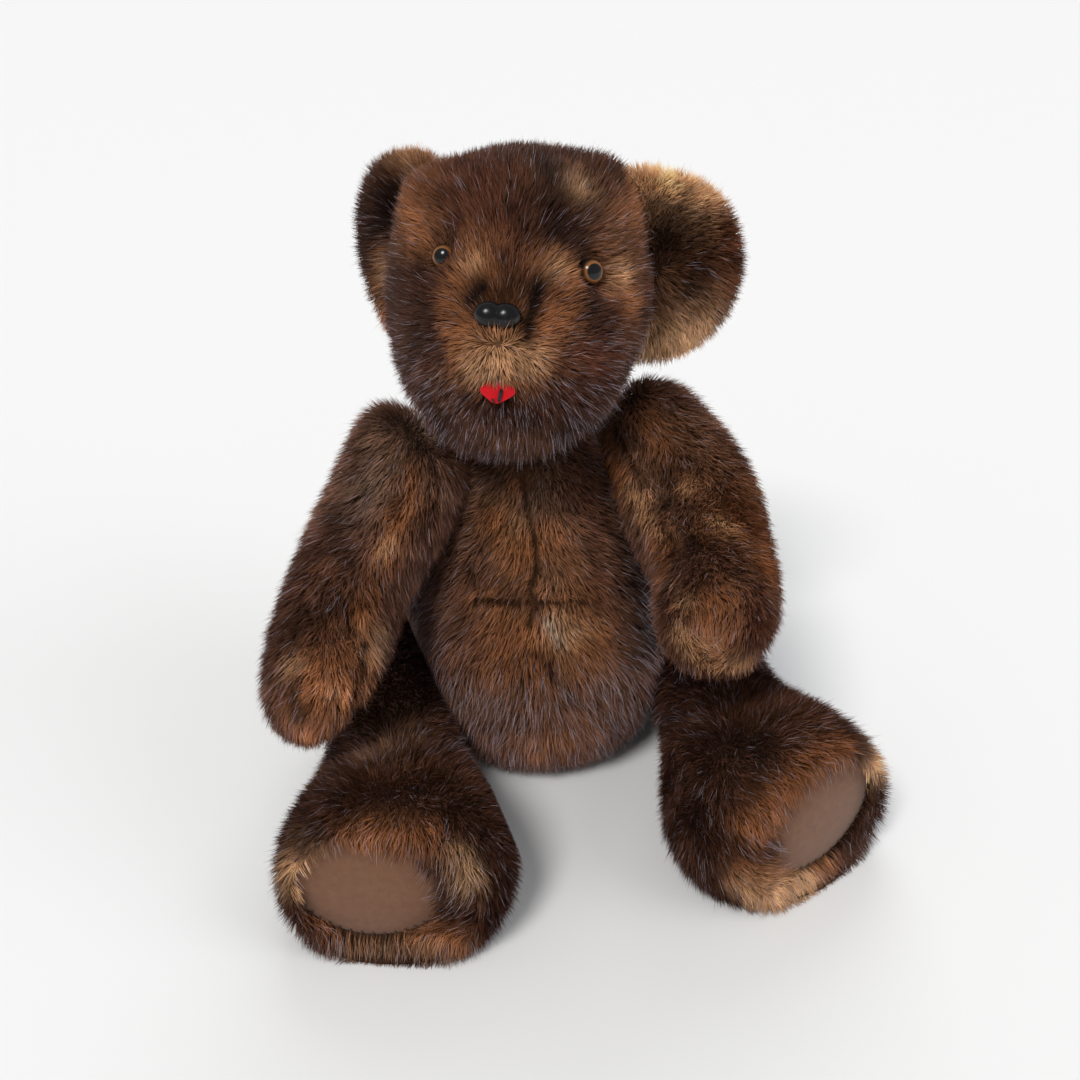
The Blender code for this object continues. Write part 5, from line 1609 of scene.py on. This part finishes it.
class MINK_OT_eyes(bpy.types.Operator):
    """Make the two domed eyes."""

    bl_idname = "mink.eyes"
    bl_label = "Eyes"

    def execute(self, context):
        for word in SIDES:
            place = eye_place(word)

            def dome(u, v):
                """A quarter circle from the top to the rim, and then a flat back."""
                turn = np.minimum(v / EYE_RIM, 1) * math.pi / 2
                radius = np.where(v <= EYE_RIM, np.sin(turn), (1 - v) / (1 - EYE_RIM)) * EYE_RADIUS
                height = EYE_DOME * (np.cos(turn) - 1)
                angle = 2 * math.pi * u
                return put(place, np.stack((radius * np.cos(angle), radius * np.sin(angle), height), -1))

            eye = capped_surface("eye_dome_" + word, dome, GRIDS["eye"], iris_finish())
            local = within(place, mesh_points(eye.data))
            reach = np.hypot(local[:, 0] - PUPIL_SHIFT, local[:, 1]) / EYE_RADIUS
            paint(eye, "iris", np.repeat(np.clip(reach, 0, 1)[:, None], 3, 1))
            carried(eye, "head", "amber_eye", "eye_" + word)
        return {"FINISHED"}


class MINK_OT_nose(bpy.types.Operator):
    """Make the moulded nose."""

    bl_idname = "mink.nose"
    bl_label = "Nose"

    def execute(self, context):
        place = nose_place()

        def outline(angle):
            """Reach, from the middle, of two ovals that overlap: the farther root of their quadratic."""
            cos, sin = np.abs(np.cos(angle)), np.sin(angle)
            square = (cos / (1 - LOBE_PLACE)) ** 2 + sin**2
            half = LOBE_PLACE * cos / (1 - LOBE_PLACE) ** 2
            return (half + np.sqrt(half**2 + square * (1 - (LOBE_PLACE / (1 - LOBE_PLACE)) ** 2))) / square

        def lobes(u, v):
            """Two domes that meet in a crease, down to their rim, and then a wall and a flat back."""
            over, back = np.sin(np.minimum(v / NOSE_RIM, 1) * math.pi / 2), (1 - v) / (1 - NOSE_EDGE)
            angle = 2 * math.pi * u
            reach = np.where(v <= NOSE_RIM, over, np.minimum(1, back)) * outline(angle)
            x, y = reach * np.cos(angle), reach * np.sin(angle)
            away = np.hypot((np.abs(x) - LOBE_PLACE) / (1 - LOBE_PLACE), y)
            crown = np.sqrt(np.clip(1 - away**NOSE_ROUND, 0, 1)) * (v < NOSE_RIM)
            height = crown * NOSE_DEPTH - NOSE_SINK - ease(v, NOSE_RIM, NOSE_EDGE) * NOSE_WALL
            taper = 1 - NOSE_TAPER * x * x * (y < 0)
            return put(place, np.stack((x * NOSE_HALF_WIDTH, y * NOSE_HALF_HEIGHT * taper, height), -1))

        nose = capped_surface("nose_lobes", lobes, GRIDS["nose"], nose_finish())
        carried(nose, "head", "nose_plastic", "nose")
        return {"FINISHED"}


class MINK_OT_mouth(bpy.types.Operator):
    """Make the felt mouth and its stitches."""

    bl_idname = "mink.mouth"
    bl_label = "Mouth"

    def execute(self, context):
        trim = context.scene.mink_bear.trim
        place = mouth_place()
        middle = FELT_LENGTH / 2 - FELT_TUCK

        def droop(x, z):
            """Height of the felt: it bends down towards its front and its sides."""
            ahead = FELT_BEND * (z + FELT_TUCK) ** 2 / FELT_LENGTH
            return -ahead - FELT_SAG * x**2 / FELT_HALF_WIDTH

        def tongue(u, v):
            """A rounded rectangle that narrows to its front, over the top to its edge and back below."""
            reach = np.minimum(1, FELT_OVER * (1 - np.abs(2 * v - 1)))
            cos, sin = np.cos(2 * math.pi * u), np.sin(2 * math.pi * u)
            corner = (np.abs(cos) ** FELT_CORNER + np.abs(sin) ** FELT_CORNER) ** (-1 / FELT_CORNER)
            across, ahead = reach * corner * cos, reach * corner * sin
            z = middle + FELT_LENGTH / 2 * ahead
            x = FELT_HALF_WIDTH * across * (1 - FELT_NARROWING * ease(ahead, *FELT_NARROW_RANGE))
            half = FELT_THICKNESS / 2 * np.sqrt(np.clip(1 - reach**FELT_EDGE, 0, 1))
            return put(place, np.stack((x, droop(x, z) + np.where(v < 0.5, half, -half), z), -1))

        felt = capped_surface("mouth_tongue", tongue, GRIDS["felt"], felt_finish())
        carried(felt, "head", "felt", "mouth_felt")
        t = np.linspace(0, 1, 9)
        paths = []
        for x0, x1, z0, z1 in MOUTH_STITCHES:
            x, z = x0 + (x1 - x0) * t, z0 + (z1 - z0) * t
            lift = FELT_THICKNESS / 2 + stitch_lift(t, *MOUTH_STITCH_LIFT)
            paths.append(put(place, np.stack((x, droop(x, z) + lift, z), -1)))
        black = thread_finish("Black thread", trim.thread)
        stitches = threads("mouth_stitches", paths, trim.stitch_radius, black)
        carried(stitches, "head", "felt")
        return {"FINISHED"}


def stitch_lift(t, ends, more):
    """Height of a stitch's middle line over its cloth: a half sine wave, in thread radii."""
    return trim_settings().stitch_radius * (ends + more * np.sin(math.pi * t))


MOUTH_STITCH_LIFT, PAD_STITCH_LIFT = (0.4, 1.6), (0.2, 1.2)
# Across at both ends and out at both ends, in the mouth's own frame
MOUTH_STITCHES = (
    (.0014, .0010, -.0010, .0048), (.0020, .0016, -.0006, .0050), (-.0016, -.0004, .0040, .0052),
)


class MINK_OT_foot_pads(bpy.types.Operator):
    """Make the suede foot pads and their stitches."""

    bl_idname = "mink.foot_pads"
    bl_label = "Foot pads"

    def execute(self, context):
        trim = context.scene.mink_bear.trim
        for word in SIDES:

            def on_sole(reach, angle, over, place=sole_place(word)):
                """Points on the pad's oval, over its face: a low dome of crown (1 - reach^2.4)."""
                height = trim.pad_dome * (1 - np.minimum(reach, 1) ** PAD_ROUND) - PAD_DEPTH + over
                x, y = reach * PAD_HALF_WIDTH * np.cos(angle), reach * PAD_HALF_HEIGHT * np.sin(angle)
                return put(place, np.stack((x, y, height), -1))

            def pad(u, v, on_sole=on_sole):
                """The dome from its middle to the rim, and back under it to the middle."""
                reach = np.minimum(1, PAD_OVER * (1 - np.abs(2 * v - 1)))
                return on_sole(reach, 2 * math.pi * u, np.where(v > 0.5, -PAD_THICKNESS, 0))

            piece = capped_surface("pad_suede_" + word, pad, GRIDS["pad"], suede_finish())
            carried(piece, "leg_" + word, "suede", "foot_pad_" + word)
            t = np.linspace(0, 1, 8)
            reach, lift = STITCH_START + STITCH_REACH * t, stitch_lift(t, *PAD_STITCH_LIFT)
            around = np.linspace(0, 2 * math.pi, PAD_STITCHES, endpoint=False)
            paths = [on_sole(reach, angle + STITCH_SLANT * t, lift) for angle in around]
            brown = thread_finish("Brown thread", trim.pad_thread)
            stitches = threads(f"pad_stitches_{word}", paths, trim.stitch_radius, brown)
            carried(stitches, "leg_" + word, "suede")
        return {"FINISHED"}


PAD_THICKNESS, PAD_STITCHES = 1.5 * MM, 40
PAD_ROUND = 2.4
PAD_OVER = 1.04  # how far past its rim the grid's middle is stretched, so that the rim is in it
STITCH_START, STITCH_REACH, STITCH_SLANT = 0.93, 0.12, 0.03


class MINK_OT_hardware(bpy.types.Operator):
    """Give the discs, washers, pins and locks their finishes."""

    bl_idname = "mink.hardware"
    bl_label = "Joint hardware"

    def execute(self, context):
        steel = grained(
            "Steel", srgb(196, 197, 200), 0.6 * MM, 0.08, 0.01 * MM, {"Metallic": 1.0}, 0.5,
            roughness=(0.25, 0.42),
        )
        board = grained(
            "Hardboard", srgb(142, 112, 82), 0.9 * MM, 0.25, 0.08 * MM, {"Roughness": 0.8}, 0.5,
        )
        plastic = grained(
            "Washer plastic", srgb(218, 216, 208), 2 * MM, 0.05, 0.02 * MM, {"Roughness": 0.45},
        )
        finishes = {"disc": board, "washer": steel, "pin": steel, "lock": plastic}
        for name, obj in frame["nodes"].items():
            for word, material in finishes.items():
                if word in name.split("_"):
                    for slot in obj.material_slots:
                        slot.material = material
        return {"FINISHED"}


class MINK_OT_stage(bpy.types.Operator):
    """Make the floor, the lights and the camera."""

    bl_idname = "mink.stage"
    bl_label = "Stage"

    def execute(self, context):
        stage = context.scene.mink_bear.stage
        material = material_of("Pale floor", {
            "Base Color": (*stage.floor, 1), "Roughness": 0.9, "Specular IOR Level": 0.1,
        })
        corners = FLOOR_REACH * np.array(((-1, -1, 0), (1, -1, 0), (1, 1, 0), (-1, 1, 0)))
        new_object("floor", corners, [(0, 1, 2, 3)], material)
        world = bpy.data.worlds.new("Studio")
        context.scene.world = world
        world.use_nodes = True
        sky = world.node_tree.nodes["Background"].inputs
        sky["Color"].default_value = (1, 1, 1, 1)
        sky["Strength"].default_value = stage.sky
        for name, place, spread, colour, mirrored in LAMPS:
            lamp(name, place, spread, getattr(stage, name), colour, mirrored)
        camera()
        context.scene.view_settings.view_transform = "Standard"
        return {"FINISHED"}


FLOOR_REACH = 14.0
# Each far light: its name, the way to it, how wide it spreads in degrees, its colour, and whether
# glossy surfaces mirror it
LAMPS = (
    ("key", (-0.50, -0.62, 1.05), 18, (1.0, 0.985, 0.96), True),
    ("fill", (1.0, -0.60, 0.80), 40, (0.94, 0.97, 1.0), False),
    ("back", (0.25, 0.90, 0.90), 40, (0.94, 0.97, 1.0), False),
)


def lamp(name, place, spread, power, colour, mirrored):
    """A far light from this direction, as soft as its spread in degrees is wide."""
    data = bpy.data.lights.new(name, "SUN")
    data.angle = math.radians(spread)
    data.energy = power
    data.color = colour
    obj = bpy.data.objects.new(name, data)
    obj.visible_glossy = mirrored
    bpy.context.scene.collection.objects.link(obj)
    away = unit(np.array(place))
    right = unit(np.cross((0, 0, 1), away))
    set_place(obj, place, np.stack((right, np.cross(away, right), away), 1))


def set_place(obj, middle, turn):
    """Puts a light or the camera at a place, turned by a 3 by 3 matrix."""
    matrix = Matrix(turn.tolist()).to_4x4()
    matrix.translation = [float(x) for x in middle]
    obj.matrix_world = matrix


CAMERA_PLACE = (-0.089, -0.516, 0.422)
CAMERA_HEADING, CAMERA_DIP, CAMERA_ROLL = np.radians((-10, 30.8, -1.7))
CAMERA_FOCAL_SHARE = 1222 / 1080  # focal length over the frame's width
SENSOR_WIDTH, CAMERA_NEAR = 36.0, 0.01


def camera():
    """The camera of the photograph: it looks down from a little to the bear's right, and leans."""
    heading = turn_about("Z", CAMERA_HEADING)
    ahead = heading @ np.array((0, math.cos(CAMERA_DIP), -math.sin(CAMERA_DIP)))
    top = heading @ np.array((0, math.sin(CAMERA_DIP), math.cos(CAMERA_DIP)))
    right = heading @ np.array((1.0, 0, 0))
    cos, sin = math.cos(CAMERA_ROLL), math.sin(CAMERA_ROLL)
    right, top = cos * right + sin * top, -sin * right + cos * top
    data = bpy.data.cameras.new("camera")
    data.sensor_width = SENSOR_WIDTH
    data.lens = SENSOR_WIDTH * CAMERA_FOCAL_SHARE
    data.clip_start = CAMERA_NEAR
    obj = bpy.data.objects.new("camera", data)
    bpy.context.scene.collection.objects.link(obj)
    set_place(obj, CAMERA_PLACE, np.stack((right, top, -ahead), 1))
    bpy.context.scene.camera = obj


OPERATORS = (
    MINK_OT_torso, MINK_OT_head, MINK_OT_ears, MINK_OT_arms, MINK_OT_legs, MINK_OT_eyes,
    MINK_OT_nose, MINK_OT_mouth, MINK_OT_foot_pads, MINK_OT_hardware, MINK_OT_stage,
)


class MINK_PT_bear(bpy.types.Panel):
    """The bear's settings and its makers."""

    bl_label = "Mink bear"
    bl_idname = "MINK_PT_bear"
    bl_space_type = "VIEW_3D"
    bl_region_type = "UI"
    bl_category = "Mink bear"

    def draw(self, context):
        settings = context.scene.mink_bear
        for part in (settings.fur, settings.trim, settings.stage):
            box = self.layout.box()
            for name in part.__annotations__:
                box.prop(part, name)
        for maker in OPERATORS:
            self.layout.operator(maker.bl_idname)


CLASSES = (
    MinkFurSettings, MinkTrimSettings, MinkStageSettings, MinkBearSettings, *OPERATORS, MINK_PT_bear,
)


def register():
    """Registers the classes and puts the settings on the scene."""
    for made in CLASSES:
        bpy.utils.register_class(made)
    bpy.types.Scene.mink_bear = bpy.props.PointerProperty(type=MinkBearSettings)


def unregister():
    """Takes the settings and the classes away again."""
    del bpy.types.Scene.mink_bear
    for made in reversed(CLASSES):
        bpy.utils.unregister_class(made)


def main():
    """Makes every piece and the stage."""
    register()
    for maker in OPERATORS:
        group, name = maker.bl_idname.split(".")
        getattr(getattr(bpy.ops, group), name)()


if __name__ == "__main__":
    main()
